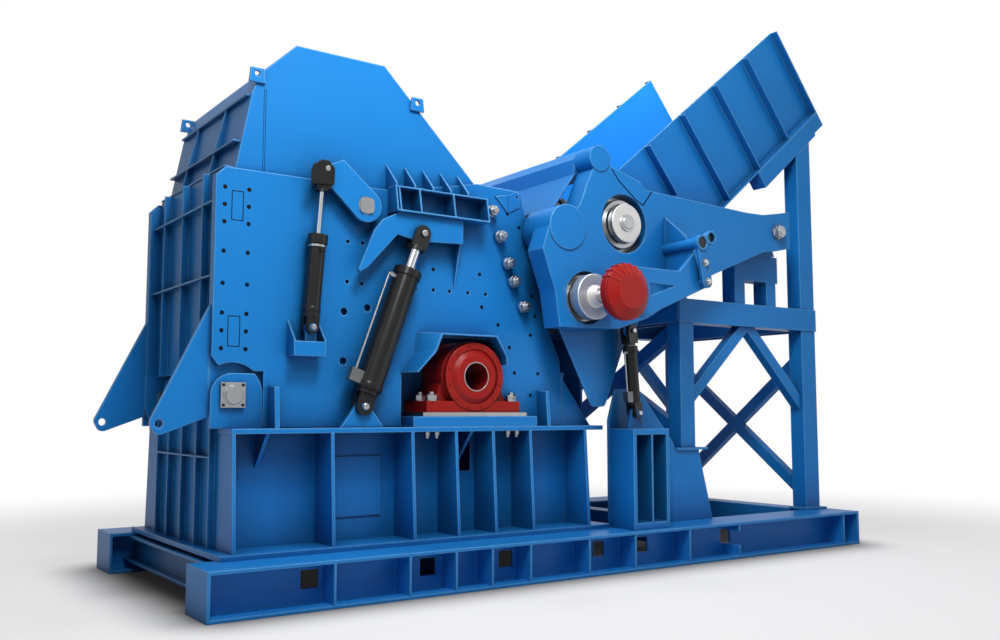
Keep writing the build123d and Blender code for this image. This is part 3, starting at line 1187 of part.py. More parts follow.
SUB_PARTS = {
    "skids": skids,
    "cross_beams": cross_beams,
    "base_plate": base_plate,
    "lower_side_walls": lower_side_walls,
    "lower_stiffeners": lower_stiffeners,
    "parting_flange": parting_flange,
    "front_cheeks": front_cheeks,
    "lower_end_walls": lower_end_walls,
    "hinge_lugs": hinge_lugs,
    "hinge_pins": hinge_pins,
    "bearing_pedestals": bearing_pedestals,
    "bearing_soles": bearing_soles,
    "rotor_bearings": rotor_bearings,
    "closing_plates": closing_plates,
    "flange_brackets": flange_brackets,
    "feed_pedestals": feed_pedestals,
    "feed_gussets": feed_gussets,
    "feed_sill": feed_sill,
    "front_posts": front_posts,
    "end_posts": end_posts,
    "support_beams": support_beams,
    "frame_braces": frame_braces,
    "pivot_pedestals": pivot_pedestals,
    "pivot_pins": pivot_pins,
    "chute_walls": chute_walls,
    "chute_floor": chute_floor,
    "chute_bearers": chute_bearers,
    "side_plates": side_plates,
    "hood_plates": hood_plates,
    "hood_roof": hood_roof,
    "hood_rear_wall": hood_rear_wall,
    "rear_arms": rear_arms,
    "lifting_lugs": lifting_lugs,
    "latch_plates": latch_plates,
    "box_beams": box_beams,
    "consoles": consoles,
    "bearing_guards": bearing_guards,
    "gate_cylinder_brackets": gate_cylinder_brackets,
    "gate_shaft": gate_shaft,
    "gate_levers": gate_levers,
    "hood_barrels": hood_barrels,
    "hood_rods": hood_rods,
    "gate_barrels": gate_barrels,
    "gate_rods": gate_rods,
    "feed_arms": feed_arms,
    "arm_tubes": arm_tubes,
    "roller_cover": roller_cover,
    "arm_guards": arm_guards,
    "roller_bearings": roller_bearings,
    "drive_motors": drive_motors,
    "torque_arms": torque_arms,
    "upper_roller": upper_roller,
    "upper_roller_shaft": upper_roller_shaft,
    "lower_roller": lower_roller,
    "lower_roller_shaft": lower_roller_shaft,
    "feed_barrels": feed_barrels,
    "feed_rods": feed_rods,
}


def turned(point, centre, angle):
    """Point turned about a centre in the XZ plane, positive from +X towards +Z."""
    dx = point[0] - centre[0]
    dz = point[1] - centre[1]
    turn = radians(angle)
    return (centre[0] + dx * cos(turn) - dz * sin(turn), centre[1] + dx * sin(turn) + dz * cos(turn))


def linkage(foot, head, centre, travel):
    """Stroke and swing of a cylinder while its head turns about a centre by travel degrees."""
    moved = turned(head, centre, travel)
    before = hypot(head[0] - foot[0], head[1] - foot[1])
    after = hypot(moved[0] - foot[0], moved[1] - foot[1])
    swing = atan2(moved[1] - foot[1], moved[0] - foot[0]) - atan2(head[1] - foot[1], head[0] - foot[0])
    return after - before, degrees(swing)


def main():
    """Build every sub-part, centre the machine on its box and write the files."""
    os.makedirs("parts", exist_ok=True)
    made = {}
    for name, build in SUB_PARTS.items():
        solids = [solid for shape in build() for solid in shape.solids()]
        made[name] = Compound(label=name, children=solids)
    boxes = [shape.bounding_box() for shape in made.values()]
    shift = -(min(box.min.X for box in boxes) + max(box.max.X for box in boxes)) / 2
    print("shift", shift)
    for name, shape in made.items():
        export_step(Pos(shift, 0, 0) * shape, os.path.join("parts", name + ".step"))
    for title, foot, head, centre, travel in (
            ("hood", HOOD_CYL_FOOT, HOOD_CYL_HEAD, (HINGE_X, HINGE_Z), HOUSING_OPENING),
            ("gate", GATE_CYL_FOOT, GATE_CYL_HEAD, (GATE_X, GATE_Z), GATE_TRAVEL),
            ("feed", FEED_CYL_FOOT, FEED_CYL_HEAD, (PIVOT_X, PIVOT_Z), -FEED_TRAVEL)):
        stroke, swing = linkage(foot, head, centre, travel)
        print(title, "stroke", stroke, "swing", swing)


if __name__ == "__main__":
    main()
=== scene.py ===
"""Looks of the metal shredder: paint, bolts, hydraulic fittings, the studio and the camera.

Every piece is drawn in the measuring frame of the construction, in millimetres: x from the rear end
of the skids towards the feed end, z up from the floor, and y as the distance from the middle plane.
Group.build moves it into the shared frame, in metres.
"""
from __future__ import annotations

import json
import logging
import math
from collections.abc import Sequence
from dataclasses import dataclass, field
from enum import Enum

import bmesh
import bpy
import numpy as np
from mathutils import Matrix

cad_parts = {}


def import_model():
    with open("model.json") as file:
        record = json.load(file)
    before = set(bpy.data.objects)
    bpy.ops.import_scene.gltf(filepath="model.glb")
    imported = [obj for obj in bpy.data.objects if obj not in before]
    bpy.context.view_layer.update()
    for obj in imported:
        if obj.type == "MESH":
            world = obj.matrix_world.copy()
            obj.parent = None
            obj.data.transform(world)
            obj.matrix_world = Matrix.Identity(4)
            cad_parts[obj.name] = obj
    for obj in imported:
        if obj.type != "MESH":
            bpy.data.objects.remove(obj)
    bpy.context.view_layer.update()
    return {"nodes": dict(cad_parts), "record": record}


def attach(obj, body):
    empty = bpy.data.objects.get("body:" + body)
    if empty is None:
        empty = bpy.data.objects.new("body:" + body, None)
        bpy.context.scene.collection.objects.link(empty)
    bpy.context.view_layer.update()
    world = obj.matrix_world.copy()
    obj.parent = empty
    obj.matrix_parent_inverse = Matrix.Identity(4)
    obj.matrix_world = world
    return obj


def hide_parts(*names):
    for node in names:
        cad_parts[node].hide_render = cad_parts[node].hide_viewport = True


LOG = logging.getLogger("shredder")
MM = 0.001
# Place of the measuring frame's origin in the shared frame, along x.
SHIFT_MM = -3970.2277
# Full depth of the small relief on a surface, in metres.
RELIEF = 2.0 * MM

Faces = list[tuple[int, ...]]
Shape = tuple[np.ndarray, Faces]
Point = tuple[float, float]
Place = tuple[float, float, float]
Outline = tuple[Point, ...]
Material = bpy.types.Material
Tree = bpy.types.NodeTree
Node = bpy.types.Node
Socket = bpy.types.NodeSocket

OUTWARD = (0.0, 1.0, 0.0)
UP = (0.0, 0.0, 1.0)
DOWN = (0.0, 0.0, -1.0)


class Steel(Enum):
    """The record's material slots, and two finishes that belong to one of them."""

    BLUE = "blue_paint"
    RED = "red_paint"
    BLACK = "black_paint"
    CHROME = "rod_chrome"
    BARE = "bare_steel"
    WORN = "worn_steel"
    PALE = "pale_face"
    SKID = "skid_paint"

    @property
    def slot(self) -> str:
        """The record's slot: pale machined faces count as bare steel, the skid enamel with less painted
        corner shade as blue.
        """
        return {Steel.PALE: Steel.BARE, Steel.SKID: Steel.BLUE}.get(self, self).value


class Body(Enum):
    """The moving bodies of the frame that carry fittings."""

    BASE = "base"
    HOOD = "hood"
    FEED = "feed_unit"
    UPPER_ROLLER = "upper_roller"
    LOWER_ROLLER = "lower_roller"
    HOOD_BARRELS = "hood_barrels"
    HOOD_RODS = "hood_rods"
    GATE_BARRELS = "gate_barrels"
    GATE_RODS = "gate_rods"
    FEED_BARRELS = "feed_barrels"
    FEED_RODS = "feed_rods"


def linear(hex_colour: str) -> tuple[float, float, float, float]:
    """Linear colour of an sRGB hex value.

    Args:
        hex_colour: six hex digits, red first.

    Returns:
        Red, green, blue and alpha, linear.
    """
    channels = [int(hex_colour[i:i + 2], 16) / 255 for i in (0, 2, 4)]
    flat = [c / 12.92 if c <= 0.04045 else ((c + 0.055) / 1.055) ** 2.4 for c in channels]
    return (flat[0], flat[1], flat[2], 1.0)


def feed(tree: Tree, node: Node, inputs: dict) -> None:
    """Sets and links a node's inputs.

    Args:
        tree: the node's tree.
        node: the node.
        inputs: input name or number to a value, or to the output socket that feeds it, or to the
            node whose first output feeds it.
    """
    for name, value in inputs.items():
        if isinstance(value, Node):
            value = value.outputs[0]
        if isinstance(value, Socket):
            tree.links.new(value, node.inputs[name])
        else:
            node.inputs[name].default_value = value


def add_node(tree: Tree, kind: str, settings: dict | None = None, inputs: dict | None = None) -> Node:
    """Adds one node with its settings, input values and links.

    Args:
        tree: the node tree that gets the node.
        kind: Blender's name of the shader node's type, less its first two words.
        settings: attribute name to value.
        inputs: what feed takes.

    Returns:
        The new node.
    """
    node = tree.nodes.new("ShaderNode" + kind)
    for name, value in (settings or {}).items():
        setattr(node, name, value)
    feed(tree, node, inputs or {})
    return node


def put_in_scene(name: str, data: bpy.types.ID) -> bpy.types.Object:
    """Makes an object and links it to the scene.

    Args:
        name: the object's name.
        data: its mesh, lamp or camera.

    Returns:
        The object.
    """
    piece = bpy.data.objects.new(name, data)
    bpy.context.scene.collection.objects.link(piece)
    return piece


def new_material(name: str) -> tuple[Material, Tree, Node]:
    """Empty material.

    Args:
        name: name of the finish.

    Returns:
        The material, its node tree and its Principled shader.
    """
    material = bpy.data.materials.new(name)
    material.use_nodes = True
    tree = material.node_tree
    return material, tree, tree.nodes["Principled BSDF"]


@dataclass(frozen=True)
class Paint:
    """Enamel sprayed on welded plate.

    The film is unevenly thick, which shows as clouds half a metre across. Orange peel makes its
    gloss wavy. A painted highlight lightens the edges, painted shade darkens the inner corners, and dust
    has settled in the lowest half metre.
    """

    name: str
    colour: str
    shade: str
    roughness: float = 0.36
    coat: float = 0.04
    gloss: float = 0.22
    cloud_mm: float = 700.0
    peel_mm: float = 16.0
    peel_height: float = 0.05
    rim_mm: float = 18.0
    # The rim colour is a painted highlight on exposed edges; the three fields after it set painted shade in
    # inner corners.
    rim: str = ""
    corner_shade: float = 0.0
    corner_shade_colour: str = "01060f"
    corner_shade_reach: float = 0.5
    dust: float = 0.05
    dust_colour: str = "8c8a86"
    dust_height: float = 0.6

    def edges(self, tree: Tree, body: Socket, rounded: Node) -> Socket:
        """Paints a highlight on the rim and paints shade into the inner corners.

        Args:
            tree: the material's tree.
            body: colour of the open faces.
            rounded: bevel node of the edges.

        Returns:
            The colour with the painted rim highlight and the painted corner shade.
        """
        flat = add_node(tree, "NewGeometry").outputs["Normal"]
        same = add_node(tree, "VectorMath", {"operation": "DOT_PRODUCT"}, {0: flat, 1: rounded})
        outer = add_node(tree, "MapRange", inputs={
            "Value": same.outputs["Value"], "From Min": 0.998, "From Max": 0.9, "To Max": 0.95})
        # Ambient occlusion sets painted shade in inner corners and keeps the painted rim highlight off hidden
        # edges.
        open_air = add_node(tree, "AmbientOcclusion", {"samples": 4, "only_local": False}, {
            "Distance": self.corner_shade_reach})
        corner = add_node(tree, "MapRange", inputs={
            "Value": open_air.outputs["AO"], "From Min": 0.35, "From Max": 0.9,
            "To Min": self.corner_shade, "To Max": 0.0})
        exposed = add_node(tree, "Math", {"operation": "MULTIPLY"}, {0: outer, 1: open_air.outputs["AO"]})
        corner_shaded = add_node(tree, "Mix", {"data_type": "RGBA"}, {
            0: corner, 6: body, 7: linear(self.corner_shade_colour)})
        # Painted highlight: the rim colour is mixed in along exposed edges.
        rimmed = add_node(tree, "Mix", {"data_type": "RGBA"}, {
            0: exposed, 6: corner_shaded.outputs[2], 7: linear(self.rim)})
        return rimmed.outputs[2]

    def build(self) -> Material:
        """Makes the material.

        Returns:
            The material.
        """
        material, tree, shader = new_material(self.name)
        place = add_node(tree, "TexCoord").outputs["Object"]
        clouds = add_node(tree, "TexNoise", inputs={
            "Vector": place, "Scale": 1 / (self.cloud_mm * MM), "Detail": 3.0, "Roughness": 0.5})
        mix = add_node(tree, "Mix", {"data_type": "RGBA"}, {
            0: clouds, 6: linear(self.shade), 7: linear(self.colour)})
        height = add_node(tree, "SeparateXYZ", inputs={0: place}).outputs["Z"]
        low = add_node(tree, "MapRange", inputs={
            "Value": height, "From Max": self.dust_height, "To Min": self.dust, "To Max": 0.0})
        dusty = add_node(tree, "Math", {"operation": "MULTIPLY"}, {0: low, 1: clouds})
        soiled = add_node(tree, "Mix", {"data_type": "RGBA"}, {
            0: dusty, 6: mix.outputs[2], 7: linear(self.dust_colour)})
        rounded = add_node(tree, "Bevel", {"samples": 4}, {"Radius": self.rim_mm * MM})
        peel = add_node(tree, "TexNoise", inputs={
            "Vector": place, "Scale": 1 / (self.peel_mm * MM), "Detail": 1.0})
        tone = add_node(tree, "MapRange", inputs={
            "Value": clouds, "To Min": self.roughness - 0.05, "To Max": self.roughness + 0.05})
        bump = add_node(tree, "Bump", inputs={
            "Height": peel, "Strength": self.peel_height, "Distance": RELIEF, "Normal": rounded})
        colour = soiled.outputs[2]
        # With a rim colour set, edges() adds painted rim highlights and painted corner shade.
        feed(tree, shader, {
            "Base Color": self.edges(tree, colour, rounded) if self.rim else colour, "Roughness": tone,
            "Normal": bump, "IOR": 1.5, "Specular IOR Level": self.gloss, "Coat Weight": self.coat,
            "Coat Roughness": 0.15})
        return material


@dataclass(frozen=True)
class Metal:
    """Bare metal: fine streaks or grains in its roughness, handling marks in its tone.

    The grain is stretched along one axis for turned and ground parts. It is drawn some ten times
    coarser than a tool leaves it, so that it shows from several metres away.
    """

    name: str
    colour: str
    stain: str
    roughness: float
    spread: float
    grain_mm: Place
    height: float = 0.05
    rim_mm: float = 2.0
    mark_mm: float = 90.0

    def build(self) -> Material:
        """Makes the material.

        Returns:
            The material.
        """
        material, tree, shader = new_material(self.name)
        place = add_node(tree, "TexCoord").outputs["Object"]
        scaled = add_node(tree, "Mapping", inputs={
            "Vector": place, "Scale": tuple(1 / (g * MM) for g in self.grain_mm)})
        grain = add_node(tree, "TexNoise", inputs={"Vector": scaled, "Scale": 1.0, "Detail": 4.0})
        marks = add_node(tree, "TexNoise", inputs={
            "Vector": place, "Scale": 1 / (self.mark_mm * MM), "Detail": 3.0})
        mix = add_node(tree, "Mix", {"data_type": "RGBA"}, {
            0: marks, 6: linear(self.stain), 7: linear(self.colour)})
        tone = add_node(tree, "MapRange", inputs={
            "Value": grain, "To Min": self.roughness - self.spread, "To Max": self.roughness + self.spread})
        rounded = add_node(tree, "Bevel", {"samples": 4}, {"Radius": self.rim_mm * MM})
        bump = add_node(tree, "Bump", inputs={
            "Height": grain, "Strength": self.height, "Distance": RELIEF, "Normal": rounded})
        feed(tree, shader, {
            "Base Color": mix.outputs[2], "Roughness": tone, "Metallic": 1.0, "Normal": bump})
        return material


@dataclass(frozen=True)
class CappedRod:
    """Chromed piston rod whose clevis, beyond a plane across the rod, is painted black."""

    name: str
    rod: Metal
    clevis: Paint
    foot: Point
    head: Point
    clevis_mm: float

    def build(self) -> Material:
        """Makes the chrome material and mixes the black shader in beyond the plane.

        Returns:
            The material.
        """
        material = self.rod.build()
        material.name = self.name
        tree = material.node_tree
        metal = tree.nodes["Principled BSDF"]
        black = add_node(tree, "BsdfPrincipled", inputs={
            "Base Color": linear(self.clevis.colour), "Roughness": self.clevis.roughness, "IOR": 1.5})
        dx = self.head[0] - self.foot[0]
        dz = self.head[1] - self.foot[1]
        run = math.hypot(dx, dz)
        cut = run - self.clevis_mm
        origin = ((self.foot[0] + SHIFT_MM) * MM, 0.0, self.foot[1] * MM)
        place = add_node(tree, "TexCoord").outputs["Object"]
        offset = add_node(tree, "VectorMath", {"operation": "SUBTRACT"}, {0: place, 1: origin})
        reach = add_node(tree, "VectorMath", {"operation": "DOT_PRODUCT"}, {
            0: offset, 1: (dx / run, 0.0, dz / run)})
        beyond = add_node(tree, "Math", {"operation": "GREATER_THAN"}, {
            0: reach.outputs["Value"], 1: cut * MM})
        mix = add_node(tree, "MixShader", inputs={0: beyond, 1: metal, 2: black})
        feed(tree, tree.nodes["Material Output"], {"Surface": mix})
        return material


# Black hydraulic enamel: smooth and nearly even, with a clear sheen along the barrels.
BLACK_ENAMEL = Paint("black_enamel", "1b1c1e", "151617", roughness=0.34, coat=0.3, cloud_mm=150.0, dust=0.0)
# Ground and chromed piston rod: a tight bright line of light along its length.
HARD_CHROME = Metal("hard_chrome", "dfe2e6", "cfd3d8", 0.12, 0.04, (4.0, 4.0, 60.0))
# Unlit bottom of bolt holes, grooves and seams.
HOLE_SHADOW = Paint("hole_shadow", "030c1c", "020814", roughness=0.8, coat=0.0, dust=0.0)
# Blue machine enamel over welded plate: satin; painted highlights on edges, painted shade in corners. The
# skids have the same enamel with little painted corner shade. Red enamel over castings: a little glossier to
# the eye.
# Turned steel: brushed rings of light. Worn casting: dull and grainy. Machined face: pale and matt.
FINISHES = {
    Steel.BLUE: Paint("blue_enamel", "2190e6", "1d86d8", rim="7cc6ff", corner_shade=0.7),
    Steel.SKID: Paint("blue_enamel_skids", "2190e6", "1d86d8", rim="7cc6ff", corner_shade=0.12),
    Steel.RED: Paint("red_enamel", "bc1f19", "a61812", coat=0.1, cloud_mm=200.0, dust=0.0,
                     rim="d64636", corner_shade=0.6, rim_mm=9.0),
    Steel.BLACK: BLACK_ENAMEL,
    Steel.CHROME: HARD_CHROME,
    Steel.BARE: Metal("turned_steel", "c4c6c8", "a9acaf", 0.3, 0.08, (3.0, 40.0, 3.0)),
    Steel.WORN: Metal("cast_wear_steel", "8b8d8f", "6e6f70", 0.48, 0.12, (9.0, 9.0, 9.0), 0.3),
    Steel.PALE: Metal("machined_face", "eceae8", "dcdad8", 0.5, 0.08, (3.0, 40.0, 3.0)),
}


def lathe(profile: Sequence[Point], start: Place, direction: Place, sides: int = 24,
          turn: float = 0.0) -> Shape:
    """Surface of revolution: p(s, a) = start + s * axis + r(s) * (cos a * u + sin a * v).

    Args:
        profile: rows of (distance s along the axis, radius r); a radius of 0 makes a pole.
        start: origin of the axis.
        direction: direction of the axis.
        sides: number of angles a.
        turn: first angle, in radians.

    Returns:
        The shape.
    """
    axis = np.array(direction, float)
    axis /= np.linalg.norm(axis)
    helper = np.array([0.0, 0.0, 1.0]) if abs(axis[2]) < 0.9 else np.array([1.0, 0.0, 0.0])
    u = np.cross(helper, axis)
    u /= np.linalg.norm(u)
    v = np.cross(axis, u)
    angles = turn + 2 * math.pi * np.arange(sides) / sides
    ring = np.outer(np.cos(angles), u) + np.outer(np.sin(angles), v)
    rows = []
    points = []
    count = 0
    for distance, radius in profile:
        centre = np.array(start, float) + distance * axis
        if radius < 1e-9:
            points.append(centre[None])
            rows.append([count] * sides)
            count += 1
        else:
            points.append(centre + radius * ring)
            rows.append(list(range(count, count + sides)))
            count += sides
    faces = []
    for low, high in zip(rows, rows[1:]):
        for i in range(sides):
            j = (i + 1) % sides
            corners = [low[i], low[j], high[j], high[i]]
            face = tuple(dict.fromkeys(corners))
            if len(face) > 2:
                faces.append(face)
    return np.vstack(points), faces


def hoop(section: Sequence[Point], start: Place, direction: Place, sides: int) -> Shape:
    """Surface of revolution of a closed section: lathe's formula, with the last row joined to the first.

    Args:
        section: corners of the section as (distance along the axis, radius), in order.
        start: origin of the axis.
        direction: direction of the axis.
        sides: number of angles.

    Returns:
        The shape.
    """
    points, faces = lathe(section, start, direction, sides)
    last = (len(section) - 1) * sides
    faces += [(last + i, last + (i + 1) % sides, (i + 1) % sides, i) for i in range(sides)]
    return points, faces


def prism_faces(count: int) -> Faces:
    """Two ends and the walls between two outlines of so many corners."""
    ends = [tuple(range(count)), tuple(range(2 * count - 1, count - 1, -1))]
    return ends + [(i, (i + 1) % count, count + (i + 1) % count, count + i) for i in range(count)]


def prism(outline: Sequence[Point], near: float, far: float) -> Shape:
    """Plate with an XZ outline between two values of y.

    Args:
        outline: corners in order.
        near: first y.
        far: last y.

    Returns:
        The shape.
    """
    count = len(outline)
    flat = np.array(outline, float)
    points = np.zeros((2 * count, 3))
    points[:count, 0] = points[count:, 0] = flat[:, 0]
    points[:count, 2] = points[count:, 2] = flat[:, 1]
    points[:count, 1] = near
    points[count:, 1] = far
    return points, prism_faces(count)


def box(x: Point, y: Point, z: Point) -> Shape:
    """Box between two values on each axis."""
    return prism([(x[0], z[0]), (x[1], z[0]), (x[1], z[1]), (x[0], z[1])], y[0], y[1])


def pipe(path: Sequence[Place], radius: float, sides: int = 12) -> Shape:
    """Round pipe along a line of points, mitred at its bends and closed at its ends.

    At each point p with tangent t it has the corners p + radius * (cos a * u + sin a * v), where u
    and v are the unit vectors across t, carried on from one point to the next.

    Args:
        path: the points of the centreline.
        radius: radius of the pipe.
        sides: corners of its section.

    Returns:
        The shape.
    """
    line = np.array(path, float)
    steps = np.diff(line, axis=0)
    steps /= np.linalg.norm(steps, axis=1)[:, None]
    tangents = np.vstack([steps[:1], steps[:-1] + steps[1:], steps[-1:]])
    tangents /= np.linalg.norm(tangents, axis=1)[:, None]
    helper = np.array([0.0, 1.0, 0.0]) if abs(tangents[0][1]) < 0.9 else np.array([1.0, 0.0, 0.0])
    angles = 2 * math.pi * np.arange(sides) / sides
    rows = []
    for point, tangent in zip(line, tangents):
        u = helper - tangent * np.dot(helper, tangent)
        u /= np.linalg.norm(u)
        v = np.cross(tangent, u)
        helper = u
        rows.append(point + radius * (np.outer(np.cos(angles), u) + np.outer(np.sin(angles), v)))
    points = np.vstack(rows)
    faces = []
    for row in range(len(rows) - 1):
        for i in range(sides):
            j = (i + 1) % sides
            faces.append((row * sides + i, row * sides + j, (row + 1) * sides + j, (row + 1) * sides + i))
    last = (len(rows) - 1) * sides
    faces += [tuple(range(sides - 1, -1, -1)), tuple(range(last, last + sides))]
    return points, faces


def along(start: Point, end: Point, distance: float, offset: float = 0.0) -> Point:
    """Point beside a line.

    Args:
        start: start of the line, as x and z.
        end: end of the line.
        distance: distance from start towards end.
        offset: distance to the left of the line.

    Returns:
        The point, as x and z.
    """
    length = math.hypot(end[0] - start[0], end[1] - start[1])
    ux = (end[0] - start[0]) / length
    uz = (end[1] - start[1]) / length
    return (start[0] + ux * distance - uz * offset, start[1] + uz * distance + ux * offset)


@dataclass
class Group:
    """Solids of one finish on one body, merged into one piece."""

    name: str
    body: Body
    steel: Steel
    paired: bool = True
    replaces: str = ""
    sharp_deg: float = 32.0
    shapes: list[Shape] = field(default_factory=list)

    def add(self, *shapes: Shape) -> Group:
        """Adds solids, drawn on the side of positive y, and returns the group."""
        self.shapes.extend(shapes)
        return self

    def build(self, material: Material) -> bpy.types.Object:
        """Mirrors the solids if they are paired, merges them and hangs the piece on its body.

        Args:
            material: the finish.

        Returns:
            The piece.
        """
        shapes = list(self.shapes)
        if self.paired:
            flip = np.array([1.0, -1.0, 1.0])
            shapes += [(points * flip, [tuple(reversed(face)) for face in faces])
                       for points, faces in self.shapes]
        offset = 0
        corners = []
        faces = []
        for points, polygons in shapes:
            corners.append(points)
            faces += [tuple(index + offset for index in polygon) for polygon in polygons]
            offset += len(points)
        merged = (np.vstack(corners) + np.array([SHIFT_MM, 0.0, 0.0])) * MM
        mesh = bpy.data.meshes.new(self.name)
        mesh.from_pydata(merged.tolist(), [], faces)
        mesh.materials.append(material)
        work = bmesh.new()
        work.from_mesh(mesh)
        bmesh.ops.recalc_face_normals(work, faces=work.faces)
        work.to_mesh(mesh)
        work.free()
        mesh.shade_smooth()
        mesh.set_sharp_from_angle(angle=math.radians(self.sharp_deg))
        piece = put_in_scene(self.name, mesh)
        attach(piece, self.body.value)
        if self.replaces:
            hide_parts(self.replaces)
        LOG.info("%s: %d faces on %s", self.name, len(mesh.polygons), self.body.value)
        return piece


@dataclass(frozen=True)
class Nut:
    """Hexagon nut on a washer with the stud's end standing out of it."""

    corner_r: float
    height: float
    washer_r: float
    washer: float
    stud_r: float
    stud: float

    def shapes(self, place: Place, direction: Place, turn: float = 0.2) -> list[Shape]:
        """The washer, the nut and the stud's end.

        Args:
            place: where the washer lies on the plate.
            direction: direction of the stud.
            turn: angle of the first corner.

        Returns:
            The three shapes.
        """
        top = self.washer + self.height
        bevel = self.corner_r * 0.12
        washer = [(0.0, 0.0), (0.0, self.washer_r), (self.washer, self.washer_r), (self.washer, 0.0)]
        nut = [(self.washer, 0.0), (self.washer, self.corner_r), (top - bevel, self.corner_r),
               (top, self.corner_r - bevel), (top, 0.0)]
        end = top + self.stud
        stud = [(top, 0.0), (top, self.stud_r), (end - bevel / 2, self.stud_r),
                (end, self.stud_r - bevel / 2), (end, 0.0)]
        return [lathe(washer, place, direction, 20), lathe(nut, place, direction, 6, turn),
                lathe(stud, place, direction, 14)]


LARGE_NUT = Nut(56.0, 50.0, 60.0, 10.0, 31.0, 34.0)
FOOT_NUT = Nut(52.0, 52.0, 54.0, 10.0, 27.0, 26.0)
UNDER_NUT = Nut(34.0, 34.0, 38.0, 6.0, 20.0, 24.0)
PIVOT_NUT = Nut(78.0, 34.0, 80.0, 6.0, 44.0, 12.0)
LINK_NUT = Nut(36.0, 22.0, 40.0, 5.0, 20.0, 10.0)
SMALL_SCREW = Nut(11.0, 8.0, 12.0, 1.5, 6.0, 0.8)


def disc(x: float, z: float, radius: float, near: float, far: float, bevel: float = 0.0,
         sides: int = 32) -> Shape:
    """Round disc across y with a bevelled outer rim.

    Args:
        x: place of its axis.
        z: height of its axis.
        radius: its radius.
        near: y of its inner face.
        far: y of its outer face.
        bevel: width of the bevel.
        sides: number of corners.

    Returns:
        The shape.
    """
    deep = far - near
    rim = [(deep - bevel, radius), (deep, radius - bevel)] if bevel else [(deep, radius)]
    return lathe([(0.0, 0.0), (0.0, radius), *rim, (deep, 0.0)], (x, near, z), OUTWARD, sides)


def ring(x: float, z: float, inner: float, outer: float, near: float, far: float, bevel: float = 2.0,
         sides: int = 40) -> Shape:
    """Flat ring across y with a bevelled outer rim.

    Args:
        x: place of its axis.
        z: height of its axis.
        inner: radius of its hole.
        outer: its outer radius.
        near: y of its inner face.
        far: y of its outer face.
        bevel: width of the bevel.
        sides: number of corners.

    Returns:
        The shape.
    """
    deep = far - near
    section = [(0.0, inner), (0.0, outer), (deep - bevel, outer), (deep, outer - bevel), (deep, inner)]
    return hoop(section, (x, near, z), OUTWARD, sides)


@dataclass
class SidePlateFittings:
    """Studs, holes, grooves and seams on the hood's two sides."""

    face: float = 998.0
    upper_face: float = 945.0
    fold_face: Point = (1009.0, 1010.8)
    boss_r: float = 62.0
    boss: float = 40.0
    studs: Outline = ((3023, 3598), (3133, 3351), (3233, 3085), (3302, 2905), (3423, 2652))
    holes: Outline = (
        (2906, 2951), (2366, 2955), (3247, 3605), (3395, 3477), (3540, 3157), (3678, 2850), (3556, 2777),
        (3597, 2569), (2931, 2624), (3132, 2457), (3272, 2234), (3335, 1979), (3325, 1752), (3535, 1755),
        (3632, 1978), (3538, 2372))
    band_columns: Point = (295.0, 508.0)
    band_levels: tuple[float, ...] = (3493, 3343, 3193, 2942, 2667, 2416, 2266, 2115)
    hole_r: float = 19.0
    grooves: tuple[tuple[float, float, float, float], ...] = ((358, 457, 3216, 3468), (350, 452, 2136, 2392))
    groove_half: float = 3.5
    seams: Point = (644.0, 661.0)
    seam_z: Point = (3690.0, 4426.0)
    fold_x: float = 3248.0
    fold_z: Point = (3612.0, 3798.0)
    seam_half: float = 2.0
    film: float = 1.0

    def bolts(self) -> list[Group]:
        """Draws the five large studs along the front edge, on welded bosses.

        Returns:
            The bosses and the nuts.
        """
        bosses = Group("hood_stud_bosses", Body.HOOD, Steel.BLUE)
        nuts = Group("hood_stud_nuts", Body.HOOD, Steel.BARE)
        for x, z in self.studs:
            bosses.add(disc(x, z, self.boss_r, self.face, self.face + self.boss, 4.0))
            nuts.add(*LARGE_NUT.shapes((x, self.face + self.boss, z), OUTWARD))
        return [bosses, nuts]

    def marks(self) -> Group:
        """Draws small holes, shallow grooves and plate seams as dark films 1 mm thick, painted shade in place
        of their depth.

        Returns:
            The films.
        """
        dark = Group("hood_recess_marks", Body.HOOD, Steel.BLACK)
        skin = (self.face - self.film, self.face + self.film)
        upper_skin = (self.upper_face - self.film, self.upper_face + self.film)
        for x, z in self.holes:
            dark.add(disc(x, z, self.hole_r, *skin, sides=20))
        for x in self.band_columns:
            for z in self.band_levels:
                dark.add(disc(x, z, self.hole_r, *skin, sides=16))
        for left, right, low, high in self.grooves:
            for x in (left, right):
                dark.add(box((x - self.groove_half, x + self.groove_half), skin, (low, high)))
            for z in (low, high):
                dark.add(box((left, right), skin, (z - self.groove_half, z + self.groove_half)))
        for x in self.seams:
            dark.add(box((x - self.seam_half, x + self.seam_half), upper_skin, self.seam_z))
        x = self.fold_x
        return dark.add(box((x - self.seam_half, x + self.seam_half), self.fold_face, self.fold_z))

    def build(self) -> list[Group]:
        """Draws the assembly.

        Returns:
            Its groups of solids.
        """
        return [*self.bolts(), self.marks()]


